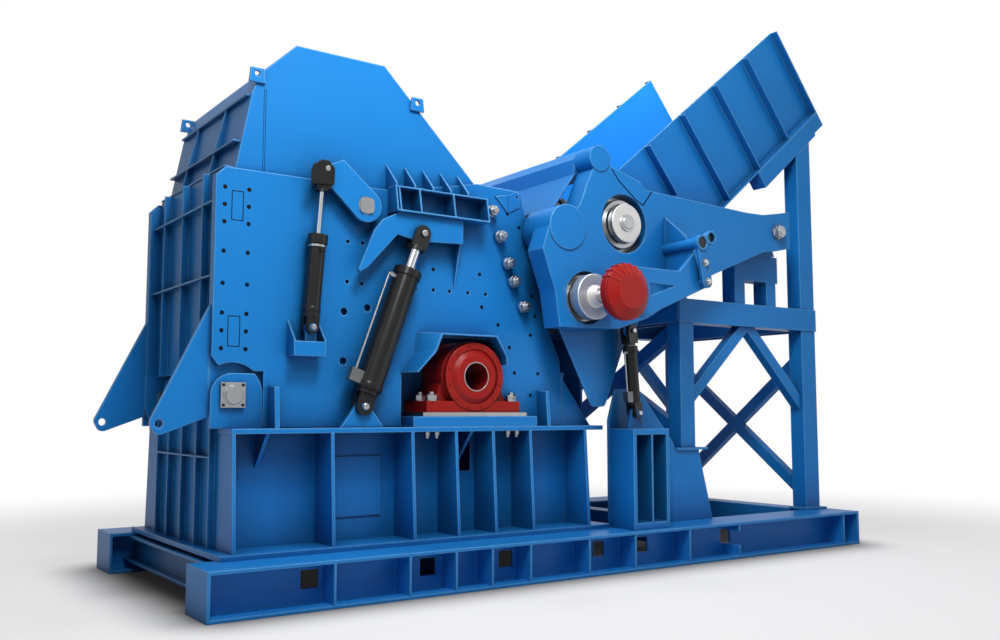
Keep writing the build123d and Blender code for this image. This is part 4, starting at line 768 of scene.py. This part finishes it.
@dataclass
class BearingFittings:
    """Foot nuts, front ring and ring screws of the rotor bearings, and the ring round their bore."""

    x: float = 2780.0
    z: float = 1925.0
    foot_top: float = 1688.0
    bolt_offset: float = 465.0
    bolt_rows: Point = (850.0, 1060.0)
    bore: Point = (134.0, 143.0)
    bore_face: Point = (1136.0, 1139.0)
    lip: Point = (268.0, 334.0)
    lip_face: Point = (1104.0, 1117.0)
    screw_circle: float = 302.0
    screws: int = 12

    def build(self) -> list[Group]:
        """Draws the assembly.

        Returns:
            Its groups of solids.
        """
        nuts = Group("bearing_foot_nuts", Body.BASE, Steel.BARE)
        for x in (self.x - self.bolt_offset, self.x + self.bolt_offset):
            for y in self.bolt_rows:
                nuts.add(*FOOT_NUT.shapes((x, y, self.foot_top), UP))
        nuts.add(ring(self.x, self.z, *self.bore, *self.bore_face, 1.0))
        lip = Group("bearing_ring_lip", Body.BASE, Steel.RED).add(
            ring(self.x, self.z, *self.lip, *self.lip_face, 8.0, 56))
        screws = Group("bearing_ring_screws", Body.BASE, Steel.RED)
        for number in range(self.screws):
            angle = 2 * math.pi * (number + 0.5) / self.screws
            screws.add(*SMALL_SCREW.shapes((
                self.x + self.screw_circle * math.cos(angle), self.lip_face[1],
                self.z + self.screw_circle * math.sin(angle)), OUTWARD))
        return [nuts, lip, screws]


@dataclass
class CylinderFittings:
    """Flange, rims, wiper ring, pins and steel pipe of one pair of hydraulic cylinders.

    Distances run along the cylinder's axis from its foot pin, and offsets lie to the left of it.
    """

    tag: str
    foot: Point
    head: Point
    middle_y: float
    radius: float
    rod_r: float
    barrel_end: float
    pin_r: float
    barrel_body: Body
    rod_body: Body
    base_body: Body
    sleeve_r: float = 0.0
    collar_r: float = 0.0
    pipe_r: float = 0.0
    pipe_offset: float = 0.0
    pipe_span: Point = (0.0, 0.0)
    block: tuple[float, float, float, float] = (0.0, 0.0, 0.0, 0.0)
    flange: Point = (-70.0, 6.0)
    foot_rim: Point = (62.0, 112.0)
    sleeve: Point = (50.0, -60.0)
    collar: Point = (-86.0, 4.0)
    band: Point = (-112.0, -92.0)
    port: Point = (-135.0, -14.0)
    port_half: float = 22.0
    pin_reach: float = 86.0

    @property
    def body_r(self) -> float:
        """Radius of what is seen of the barrel."""
        return max(self.sleeve_r, self.radius)

    @property
    def direction(self) -> Place:
        """Direction of the axis, from the foot to the head."""
        return (self.head[0] - self.foot[0], 0.0, self.head[1] - self.foot[1])

    def point(self, distance: float, offset: float, y: float) -> Place:
        """Point beside the cylinder's axis."""
        x, z = along(self.foot, self.head, distance, offset)
        return (x, y, z)

    def bar(self, first: float, last: float, rows: list[Point]) -> Shape:
        """Round shape on the cylinder's axis.

        Args:
            first: distance where it starts.
            last: distance where it ends.
            rows: (share of the length, radius) rows between closed ends.

        Returns:
            The shape.
        """
        length = last - first
        profile = [(0.0, 0.0)] + [(share * length, radius) for share, radius in rows] + [(length, 0.0)]
        return lathe(profile, self.point(first, 0.0, self.middle_y), self.direction, 36)

    def barrel(self) -> list[Group]:
        """Draws the flange, the rim at the foot, the sleeve, and the collar with its band and port.

        Returns:
            The black group, and the steel one if it has anything.
        """
        black = Group(self.tag + "_flange", self.barrel_body, Steel.BLACK)
        steel = Group(self.tag + "_bands", self.barrel_body, Steel.BARE)
        end = self.barrel_end
        rim = self.body_r + 12.0
        black.add(self.bar(end + self.flange[0], end + self.flange[1],
                           [(0.0, rim - 4), (0.06, rim), (0.9, rim), (1.0, rim - 6)]))
        low, high = self.body_r + 2, self.body_r + 5
        black.add(self.bar(self.radius + self.foot_rim[0], self.radius + self.foot_rim[1],
                           [(0.0, low), (0.1, high), (0.9, high), (1.0, low)]))
        if self.sleeve_r:
            black.add(self.bar(self.radius + self.sleeve[0], end + self.sleeve[1],
                               [(0.0, self.sleeve_r), (1.0, self.sleeve_r)]))
        if self.collar_r:
            black.add(self.bar(end + self.collar[0], end + self.collar[1],
                               [(0.0, self.collar_r), (0.95, self.collar_r), (1.0, self.collar_r - 4)]))
            band_r = self.radius + 7
            steel.add(self.bar(end + self.band[0], end + self.band[1], [(0.0, band_r), (1.0, band_r)]))
            x, _, z = self.point(end + self.port[0], self.port[1], 0.0)
            side = self.middle_y + self.radius
            black.add(box((x - self.port_half, x + 24.0), (side - 10.0, side + self.port_half),
                          (z - self.port_half, z + 20.0)))
        return [black, steel] if steel.shapes else [black]

    def piping(self) -> list[Group]:
        """Draws the pipe beside the barrel, from a block near the foot to a fitting near the head.

        Returns:
            The pipe and the block.
        """
        steel = Group(self.tag + "_pipe", self.barrel_body, Steel.BARE)
        low, high = self.pipe_span
        y = self.middle_y + 20.0
        root = self.point(high, self.body_r * 0.9, y)
        steel.add(pipe([self.point(low, self.pipe_offset, y), self.point(high, self.pipe_offset, y), root],
                       self.pipe_r))
        steel.add(pipe([self.point(high, self.pipe_offset * 0.93, y), root], self.pipe_r * 1.7, 6))
        near, far, inner, outer = self.block
        corners = [along(self.foot, self.head, *corner)
                   for corner in ((near, inner), (far, inner), (far, outer), (near, outer))]
        grey = Group(self.tag + "_block", self.barrel_body, Steel.WORN)
        return [steel, grey.add(prism(corners, y - 34.0, y + 38.0))]

    def pins(self) -> list[Group]:
        """Draws the pins' end caps: the foot's on the bracket's body, the head's on the rod.

        Returns:
            The foot's group and the head's.
        """
        foot = Group(self.tag + "_foot_pins", self.base_body, Steel.BARE)
        head = Group(self.tag + "_head_pins", self.rod_body, Steel.BARE)
        rows = [(-12.0, 0.0), (-12.0, self.pin_r), (9.0, self.pin_r), (13.0, self.pin_r - 5.0), (13.0, 0.0)]
        for group, (x, z) in ((foot, self.foot), (head, self.head)):
            for side in (-1.0, 1.0):
                tip = self.middle_y + side * self.pin_reach
                group.add(lathe(rows, (x, tip, z), (0.0, side, 0.0), 24))
        return [foot, head]

    def wiper(self) -> Group:
        """Draws the bright wiper ring where the rod leaves the barrel.

        Returns:
            The ring's group.
        """
        inner, outer = self.rod_r + 1.0, self.rod_r + 16.0
        return Group(self.tag + "_wiper", self.barrel_body, Steel.BARE).add(
            hoop([(0.0, inner), (0.0, outer), (9.0, outer), (12.0, outer - 3.0), (12.0, inner)],
                 self.point(self.barrel_end - 1.0, 0.0, self.middle_y), self.direction, 32))

    def build(self) -> list[Group]:
        """Draws the assembly.

        Returns:
            Its groups of solids.
        """
        return [*self.barrel(), *(self.piping() if self.pipe_r else []), *self.pins(), self.wiper()]


@dataclass
class RollerEnds:
    """Recessed bearing rings, caps and hubs where the feed rollers' shafts come out of the arms.

    The rings stand for the construction's own, which lie flush with the arm. Sections are rows of
    (distance outwards from the arm's inner face, radius).
    """

    upper: Point = (4396.0, 3551.0)
    lower: Point = (3879.0, 2734.0)
    inner: float = 1250.0
    upper_section: Outline = (
        (0.0, 96.0), (0.0, 306.0), (118.0, 306.0), (118.0, 262.0), (196.0, 262.0), (204.0, 254.0),
        (204.0, 214.0), (120.0, 214.0), (120.0, 96.0))
    lower_section: Outline = (
        (0.0, 72.0), (0.0, 266.0), (118.0, 266.0), (118.0, 240.0), (180.0, 240.0), (186.0, 234.0),
        (186.0, 196.0), (120.0, 196.0), (120.0, 72.0))
    cap_r: float = 203.0
    cap: Point = (1529.0, 1543.0)
    rim_r: float = 86.0
    rim: Point = (1542.0, 1546.0)
    hub: Outline = ((0.0, 0.0), (0.0, 72.0), (20.0, 72.0), (25.0, 66.0), (25.0, 0.0))
    hub_turn: float = 0.39
    disc_r: float = 230.0
    disc: Point = (1522.0, 1636.0)
    cone: Outline = (
        (0.0, 0.0), (0.0, 118.0), (14.0, 112.0), (60.0, 84.0), (86.0, 80.0), (86.0, 0.0))

    def build(self) -> list[Group]:
        """Draws the assembly.

        Returns:
            Its groups of solids.
        """
        (x, z), (lower_x, lower_z) = self.upper, self.lower
        return [
            Group("roller_bearing_rings", Body.FEED, Steel.BARE, replaces="roller_bearings").add(
                hoop(self.upper_section, (x, self.inner, z), OUTWARD, 48),
                hoop(self.lower_section, (lower_x, self.inner, lower_z), OUTWARD, 48)),
            Group("upper_roller_caps", Body.UPPER_ROLLER, Steel.PALE).add(
                disc(x, z, self.cap_r, *self.cap, 4.0, 56)),
            Group("upper_roller_hub_rims", Body.UPPER_ROLLER, Steel.BLACK).add(
                disc(x, z, self.rim_r, *self.rim, 1.0, 8)),
            Group("upper_roller_hubs", Body.UPPER_ROLLER, Steel.BARE).add(
                lathe(self.hub, (x, self.cap[1], z), OUTWARD, 8, self.hub_turn)),
            Group("lower_roller_discs", Body.LOWER_ROLLER, Steel.PALE).add(
                disc(lower_x, lower_z, self.disc_r, *self.disc, 6.0, 56)),
            Group("lower_roller_cones", Body.LOWER_ROLLER, Steel.PALE).add(
                lathe(self.cone, (lower_x, self.disc[1], lower_z), OUTWARD, 40))]


@dataclass
class StubTubes:
    """Round ends of the cross tube on the arms' outer faces, and the gussets of the torque tubes."""

    centre: Point = (3632.0, 3433.0)
    radius: float = 232.0
    reach: Point = (1120.0, 1514.0)
    gusset_x: Point = (4982.0, 4998.0)
    gussets: tuple[Outline, ...] = (
        ((1500.0, 3690.0), (1500.0, 3390.0), (1830.0, 3390.0), (1815.0, 3430.0)),
        ((1500.0, 3280.0), (1900.0, 3280.0), (1900.0, 3240.0), (1500.0, 2800.0)))
    ring: Point = (5165.0, 3408.0)
    ring_r: Point = (50.0, 74.0)
    ring_y: Point = (1950.0, 2008.0)
    web: Outline = ((5050.0, 3330.0), (5140.0, 3345.0), (5110.0, 3450.0), (5020.0, 3405.0))
    web_y: Point = (1955.0, 1985.0)
    tube: Point = (4990.0, 3335.0)
    tube_bore: float = 58.0
    tube_y: Point = (2029.0, 2033.0)
    ring_bore: float = 49.0
    ring_floor: Point = (1975.0, 1979.0)

    def build(self) -> list[Group]:
        """Draws the assembly.

        Returns:
            Its groups of solids.
        """
        blue = Group("arm_tube_ends", Body.FEED, Steel.BLUE)
        blue.add(disc(*self.centre, self.radius, *self.reach, 5.0, 64))
        for outline in self.gussets:
            points, faces = prism(outline, *self.gusset_x)
            blue.add((points[:, (1, 0, 2)], faces))
        blue.add(ring(*self.ring, *self.ring_r, *self.ring_y, 3.0, 32), prism(self.web, *self.web_y))
        # The black discs in the torque tube's bore and in the ring's hole are painted shade.
        return [blue, Group("torque_tube_hollows", Body.FEED, Steel.BLACK).add(
            disc(*self.tube, self.tube_bore, *self.tube_y, sides=24),
            disc(*self.ring, self.ring_bore, *self.ring_floor, sides=24))]


@dataclass
class GateClevis:
    """Broad cover plates on the clevises of the gate cylinders' rods."""

    outline: Outline = (
        (1002, 3697), (1005, 3582), (1218, 3594), (1224, 3746), (1169, 3805), (1097, 3811), (1019, 3758))
    reach: Point = (1172.0, 1188.0)

    def build(self) -> list[Group]:
        """Draws the assembly.

        Returns:
            Its groups of solids.
        """
        cover = prism(self.outline, *self.reach)
        return [Group("gate_clevis_covers", Body.GATE_RODS, Steel.BLACK).add(cover)]


@dataclass
class RoofRibs:
    """Ribs on the hood's sloping rear panel, with the lip at its foot."""

    foot: Point = (401.0, 3690.0)
    top: Point = (532.0, 4377.0)
    depth: float = 62.0
    thickness: float = 16.0
    half_width: float = 902.0
    upright: float = 385.0
    level: float = 3945.0
    lip: float = 95.0

    def build(self) -> list[Group]:
        """Draws the assembly.

        Returns:
            Its groups of solids.
        """
        blue = Group("roof_ribs", Body.HOOD, Steel.BLUE)
        (x0, z0), (x1, z1) = self.foot, self.top
        outline = [(x0 + 4.0, z0), (x1 + 4.0, z1), (x1 - self.depth * 0.5, z1), (x0 - self.depth, z0)]
        blue.add(prism(outline, self.upright - self.thickness / 2, self.upright + self.thickness / 2))
        levels = ((self.level, self.depth), (z0 + self.thickness, self.lip), (z1 - 6.0, self.depth * 0.6))
        for z, out in levels:
            x = x0 + (x1 - x0) * (z - z0) / (z1 - z0)
            blue.add(box((x - out, x + 3.0), (0.0, self.half_width), (z - self.thickness, z)))
        return [blue]


@dataclass
class MotorFittings:
    """Cooling ribs, port cover and joint ring of the drive motors."""

    x: float = 3879.0
    z: float = 2734.0
    near: float = 1947.0
    far: float = 2173.0
    radius: float = 268.0
    face_r: float = 165.0
    bevel: float = 62.0
    ribs: int = 7
    rib_span: Point = (50.0, 150.0)
    rib_width: float = 17.0
    rib_height: float = 14.0
    port: Point = (3985.0, 2748.0)
    port_r: float = 80.0
    port_reach: Point = (60.0, 2.0)
    joint: float = 80.0

    def rib(self, angle: float) -> Shape:
        """One rib that follows the motor's outline over its rim.

        Args:
            angle: direction from the motor's axis, in degrees.

        Returns:
            The shape.
        """
        rim, shoulder = self.far - self.bevel, self.near + self.bevel
        root, crest = self.radius - 8.0, self.radius + self.rib_height
        section = [(self.face_r - 15.0, self.far - 6.0), (root, rim), (root, shoulder),
                   (crest, shoulder), (crest, rim - 4.0), (self.face_r + 12.0, self.far)]
        cosine, sine = math.cos(math.radians(angle)), math.sin(math.radians(angle))
        points = []
        for side in (-self.rib_width / 2, self.rib_width / 2):
            points += [(self.x + radius * cosine - side * sine, y, self.z + radius * sine + side * cosine)
                       for radius, y in section]
        return np.array(points), prism_faces(len(section))

    def build(self) -> list[Group]:
        """Draws the assembly.

        Returns:
            Its groups of solids.
        """
        red = Group("motor_ribs", Body.FEED, Steel.RED)
        low, high = self.rib_span
        for number in range(self.ribs):
            red.add(self.rib(low + (high - low) * number / (self.ribs - 1)))
        near, far = self.port_reach
        red.add(disc(*self.port, self.port_r, self.far - near, self.far - far, 10.0))
        red.add(ring(self.x, self.z, self.radius - 6.0, self.radius + 6.0, self.near + self.joint,
                     self.far - self.joint, 3.0, 48))
        return [red]


@dataclass
class FeedArmFittings:
    """Seams, pivot nuts and torque arm bolts of the feed unit."""

    face: float = 1500.0
    seam: Outline = ((4230, 4112), (4319, 4007), (4565, 3826), (4668, 3778), (4800, 3945))
    seam_half: float = 7.0
    film: float = 1.0
    pivot: Place = (6833.0, 1550.0, 3717.0)
    link_nuts: tuple[Place, ...] = ((5032.0, 2030.0, 3128.0), (5068.0, 2030.0, 2932.0))

    def build(self) -> list[Group]:
        """Draws the assembly.

        Returns:
            Its groups of solids.
        """
        dark = Group("arm_seams", Body.FEED, Steel.BLACK)
        half = self.seam_half
        for start, end in zip(self.seam, self.seam[1:]):
            length = math.dist(start, end)
            corners = [along(start, end, *corner)
                       for corner in ((0.0, half), (length, half), (length, -half), (0.0, -half))]
            dark.add(prism(corners, self.face - self.film, self.face + self.film))
        pins = Group("torque_link_nuts", Body.FEED, Steel.BARE)
        for place in self.link_nuts:
            pins.add(*LINK_NUT.shapes(place, OUTWARD))
        pivots = Group("pivot_nuts", Body.BASE, Steel.BARE)
        return [dark, pivots.add(*PIVOT_NUT.shapes(self.pivot, OUTWARD)), pins]


@dataclass
class HousingFittings:
    """Caps and screws of the hinge pins' keepers, nuts under the flange, and a pad on the wall."""

    hinge: Point = (400.0, 1725.0)
    cap_r: float = 84.0
    cap: Point = (1029.0, 1044.0)
    screw_inset: float = 84.0
    screw_r: float = 13.0
    screw: Point = (1030.0, 1039.0)
    flange_low: float = 1400.0
    nut_x: tuple[float, ...] = (2270.0, 2375.0, 3200.0, 3310.0)
    nut_y: float = 1060.0
    pad_x: Point = (1400.0, 1880.0)
    pad_y: Point = (870.0, 884.0)
    pad_z: Point = (640.0, 1180.0)

    def build(self) -> list[Group]:
        """Draws the assembly.

        Returns:
            Its groups of solids.
        """
        x, z = self.hinge
        screws = Group("keeper_screws", Body.BASE, Steel.BLACK)
        for dx in (-self.screw_inset, self.screw_inset):
            for dz in (-self.screw_inset, self.screw_inset):
                screws.add(disc(x + dx, z + dz, self.screw_r, *self.screw, 2.0, 16))
        nuts = Group("flange_nuts", Body.BASE, Steel.BARE)
        for place in self.nut_x:
            nuts.add(*UNDER_NUT.shapes((place, self.nut_y, self.flange_low), DOWN))
        cap = Group("hinge_pin_caps", Body.BASE, Steel.BARE).add(disc(x, z, self.cap_r, *self.cap, 4.0, 40))
        pads = Group("housing_pads", Body.BASE, Steel.BLUE).add(box(self.pad_x, self.pad_y, self.pad_z))
        return [screws, cap, nuts, pads]


@dataclass(frozen=True)
class Lamp:
    """Round softbox, with its place, aim and size in metres and its power in watts."""

    name: str
    place: Place
    aim: Place
    size: float
    power: float

    def hang(self) -> None:
        """Hangs the lamp."""
        data = bpy.data.lights.new(self.name, "AREA")
        data.shape = "DISK"
        data.size = self.size
        data.energy = self.power
        lamp = put_in_scene(self.name, data)
        lamp.location = self.place
        x, y, z = np.array(self.aim) - np.array(self.place)
        lamp.rotation_euler = (math.atan2(math.hypot(x, y), -z), 0.0, math.atan2(y, x) - math.pi / 2)


@dataclass
class Studio:
    """White floor and backdrop, soft lamps, and the camera at the picture's viewing angle."""

    lens_mm: float = 35.464
    sensor_mm: float = 36.0
    camera_place: Place = ((-2543.0 + SHIFT_MM) * MM, -9.077, 1.575)
    pitch_deg: float = 5.389
    yaw_deg: float = 35.1985
    sight: float = 300.0
    floor_reach: float = 90.0
    floor_colour: str = "eeeeef"
    fade: Point = (5.5, 12.0)
    glow: float = 0.58
    # footprint, skirt and under set a painted shadow on the floor beneath the machine.
    footprint: Point = (3.75, 1.45)
    skirt: float = 0.9
    under: float = 0.02
    sky_soft: float = 0.04
    sheen: float = 0.6
    lamps: tuple[Lamp, ...] = (
        Lamp("key", (-2.8, -5.5, 9.0), (-2.0, -1.0, 3.5), 2.5, 430.0),
        Lamp("key_left", (-5.5, -8.0, 8.0), (-1.5, -1.0, 3.0), 3.0, 190.0),
        Lamp("key_right", (5.5, -8.0, 9.0), (0.5, -1.0, 3.0), 3.0, 30.0),
        Lamp("card", (9.0, -10.0, 3.5), (0.5, -1.0, 2.5), 6.0, 70.0),
        Lamp("rim", (-11.0, -3.0, 6.0), (0.0, 0.0, 2.5), 4.0, 20.0),
        Lamp("chute", (2.2, -0.9, 8.6), (2.2, 0.8, 4.8), 1.5, 170.0),
        Lamp("back", (4.0, 10.0, 7.0), (0.0, 0.0, 2.5), 5.0, 300.0),
        Lamp("top", (-1.5, 0.0, 11.0), (-1.5, 0.0, 2.0), 4.0, 90.0))

    def camera(self) -> None:
        """Places the camera."""
        data = bpy.data.cameras.new("camera")
        data.lens = self.lens_mm
        data.sensor_width = self.sensor_mm
        data.sensor_fit = "HORIZONTAL"
        data.clip_end = self.sight
        view = put_in_scene("camera", data)
        view.location = self.camera_place
        view.rotation_euler = (math.radians(90 + self.pitch_deg), 0.0, -math.radians(self.yaw_deg))
        bpy.context.scene.camera = view

    def backdrop_share(self, tree: Tree) -> Node:
        """Share of pure white that a ray sees: all for the camera and through glass, sheen in gloss.

        Args:
            tree: node tree of the floor or the world.

        Returns:
            The node that gives the share.
        """
        path = add_node(tree, "LightPath")
        direct = add_node(tree, "Math", {"operation": "MULTIPLY_ADD"}, {
            0: path.outputs["Is Glossy Ray"], 1: self.sheen, 2: path.outputs["Is Camera Ray"]})
        return add_node(tree, "Math", {"operation": "MAXIMUM"}, {
            0: direct, 1: path.outputs["Is Transmission Ray"]})

    def floor_material(self) -> Material:
        """Pale floor that turns into the white backdrop away from the machine, with a painted shadow under
        it.

        Returns:
            The material.
        """
        material, tree, shader = new_material("studio_floor")
        place = add_node(tree, "TexCoord").outputs["Object"]
        reached = add_node(tree, "VectorMath", {"operation": "LENGTH"}, {0: place})
        fade = add_node(tree, "MapRange", {"interpolation_type": "SMOOTHSTEP"}, {
            "Value": reached.outputs["Value"], "From Min": self.fade[0], "From Max": self.fade[1],
            "To Min": self.glow, "To Max": 1.0})
        # Painted shadow: inside the machine's footprint and its skirt, the floor's colour and its white share
        # drop to the under level.
        folded = add_node(tree, "VectorMath", {"operation": "ABSOLUTE"}, {0: place})
        past = add_node(tree, "VectorMath", {"operation": "SUBTRACT"}, {0: folded, 1: (*self.footprint, 0.0)})
        outside = add_node(tree, "VectorMath", {"operation": "MAXIMUM"}, {0: past, 1: (0.0, 0.0, 0.0)})
        beside = add_node(tree, "VectorMath", {"operation": "LENGTH"}, {0: outside})
        clear = add_node(tree, "MapRange", {"interpolation_type": "SMOOTHSTEP"}, {
            "Value": beside.outputs["Value"], "From Max": self.skirt, "To Min": self.under})
        colour = add_node(tree, "VectorMath", {"operation": "SCALE"}, {
            0: linear(self.floor_colour)[:3], "Scale": clear})
        feed(tree, shader, {"Base Color": colour, "Roughness": 0.9, "Specular IOR Level": 0.2})
        lit = add_node(tree, "Math", {"operation": "MULTIPLY"}, {0: fade, 1: clear})
        seen = add_node(tree, "Math", {"operation": "MULTIPLY"}, {0: lit, 1: self.backdrop_share(tree)})
        white = add_node(tree, "Emission", inputs={"Color": linear("ffffff"), "Strength": 1.0})
        mix = add_node(tree, "MixShader", inputs={0: seen, 1: shader, 2: white})
        feed(tree, tree.nodes["Material Output"], {"Surface": mix})
        return material

    def floor(self) -> None:
        """Lays the floor."""
        reach = self.floor_reach
        mesh = bpy.data.meshes.new("floor")
        mesh.from_pydata([(-reach, -reach, 0), (reach, -reach, 0), (reach, reach, 0), (-reach, reach, 0)],
                         [], [(0, 1, 2, 3)])
        mesh.materials.append(self.floor_material())
        put_in_scene("floor", mesh)

    def sky(self) -> None:
        """White backdrop for the camera and in reflections, and a faint light from all sides."""
        world = bpy.data.worlds.new("studio")
        world.use_nodes = True
        tree = world.node_tree
        ground = tree.nodes["Background"]
        feed(tree, ground, {"Color": linear("ffffff"), "Strength": self.sky_soft})
        white = add_node(tree, "Background", inputs={"Color": linear("ffffff"), "Strength": 1.0})
        mix = add_node(tree, "MixShader", inputs={0: self.backdrop_share(tree), 1: ground, 2: white})
        feed(tree, tree.nodes["World Output"], {"Surface": mix})
        bpy.context.scene.world = world

    def build(self) -> None:
        """Sets the whole studio up."""
        self.camera()
        self.floor()
        for lamp in self.lamps:
            lamp.hang()
        self.sky()
        bpy.context.scene.view_settings.view_transform = "Standard"


HOOD_CYLINDER = CylinderFittings(
    "hood_cylinder", foot=(1548.0, 1632.0), head=(2141.0, 3252.0), middle_y=1130.0, radius=105.0, rod_r=55.0,
    barrel_end=1345.0, pin_r=30.0, barrel_body=Body.HOOD_BARRELS, rod_body=Body.HOOD_RODS,
    base_body=Body.BASE, sleeve_r=125.0, pipe_r=13.0, pipe_offset=186.0, pipe_span=(250.0, 1240.0),
    block=(175.0, 292.0, 105.0, 232.0))
GATE_CYLINDER = CylinderFittings(
    "gate_cylinder", foot=(1049.0, 2315.0), head=(1154.0, 3735.0), middle_y=1100.0, radius=75.0, rod_r=20.0,
    barrel_end=830.0, pin_r=24.0, barrel_body=Body.GATE_BARRELS, rod_body=Body.GATE_RODS, base_body=Body.HOOD,
    collar_r=90.0)
FEED_CYLINDER = CylinderFittings(
    "feed_cylinder", foot=(4604.0, 1574.0), head=(4534.0, 2435.0), middle_y=1400.0, radius=68.0, rod_r=36.0,
    barrel_end=700.0, pin_r=24.0, barrel_body=Body.FEED_BARRELS, rod_body=Body.FEED_RODS, base_body=Body.BASE,
    pipe_r=10.0, pipe_offset=100.0, pipe_span=(160.0, 640.0), block=(120.0, 230.0, 60.0, 130.0))
# The rods' nodes, with the length of each black clevis.
ROD_CAPS = {"hood_rods": (HOOD_CYLINDER, 166.0), "gate_rods": (GATE_CYLINDER, 191.0),
            "feed_rods": (FEED_CYLINDER, 151.0)}
SHADED = ("hood_recess_marks", "arm_seams")


def dress_frame(frame: dict, materials: dict[Steel, Material]) -> None:
    """Gives every construction node the finish of its slot.

    Args:
        frame: the loaded frame.
        materials: finish of each slot.
    """
    slots = {row["node"]: row["material_slot"] for row in frame["record"]["subparts"]}
    for name, node in frame["nodes"].items():
        node.data.materials.clear()
        if name in ROD_CAPS:
            cylinder, clevis = ROD_CAPS[name]
            ends = (cylinder.foot, cylinder.head)
            finish = CappedRod("chrome_" + name, HARD_CHROME, BLACK_ENAMEL, *ends, clevis).build()
        else:
            finish = materials[Steel.SKID if name == "skids" else Steel(slots[name])]
        node.data.materials.append(finish)
        LOG.info("dressed %s as %s", name, slots[name])


def main() -> None:
    """Builds the looks in order."""
    logging.basicConfig(level=logging.INFO, format="%(message)s")
    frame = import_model()
    Studio().build()
    materials = {steel: finish.build() for steel, finish in FINISHES.items()}
    shadow = HOLE_SHADOW.build()
    dress_frame(frame, materials)
    assemblies = (RoofRibs(), StubTubes(), GateClevis(), SidePlateFittings(), BearingFittings(),
                  HOOD_CYLINDER, GATE_CYLINDER, FEED_CYLINDER, RollerEnds(), MotorFittings(),
                  FeedArmFittings(), HousingFittings())
    for assembly in assemblies:
        for group in assembly.build():
            group.build(shadow if group.name in SHADED else materials[group.steel])


if __name__ == "__main__":
    main()
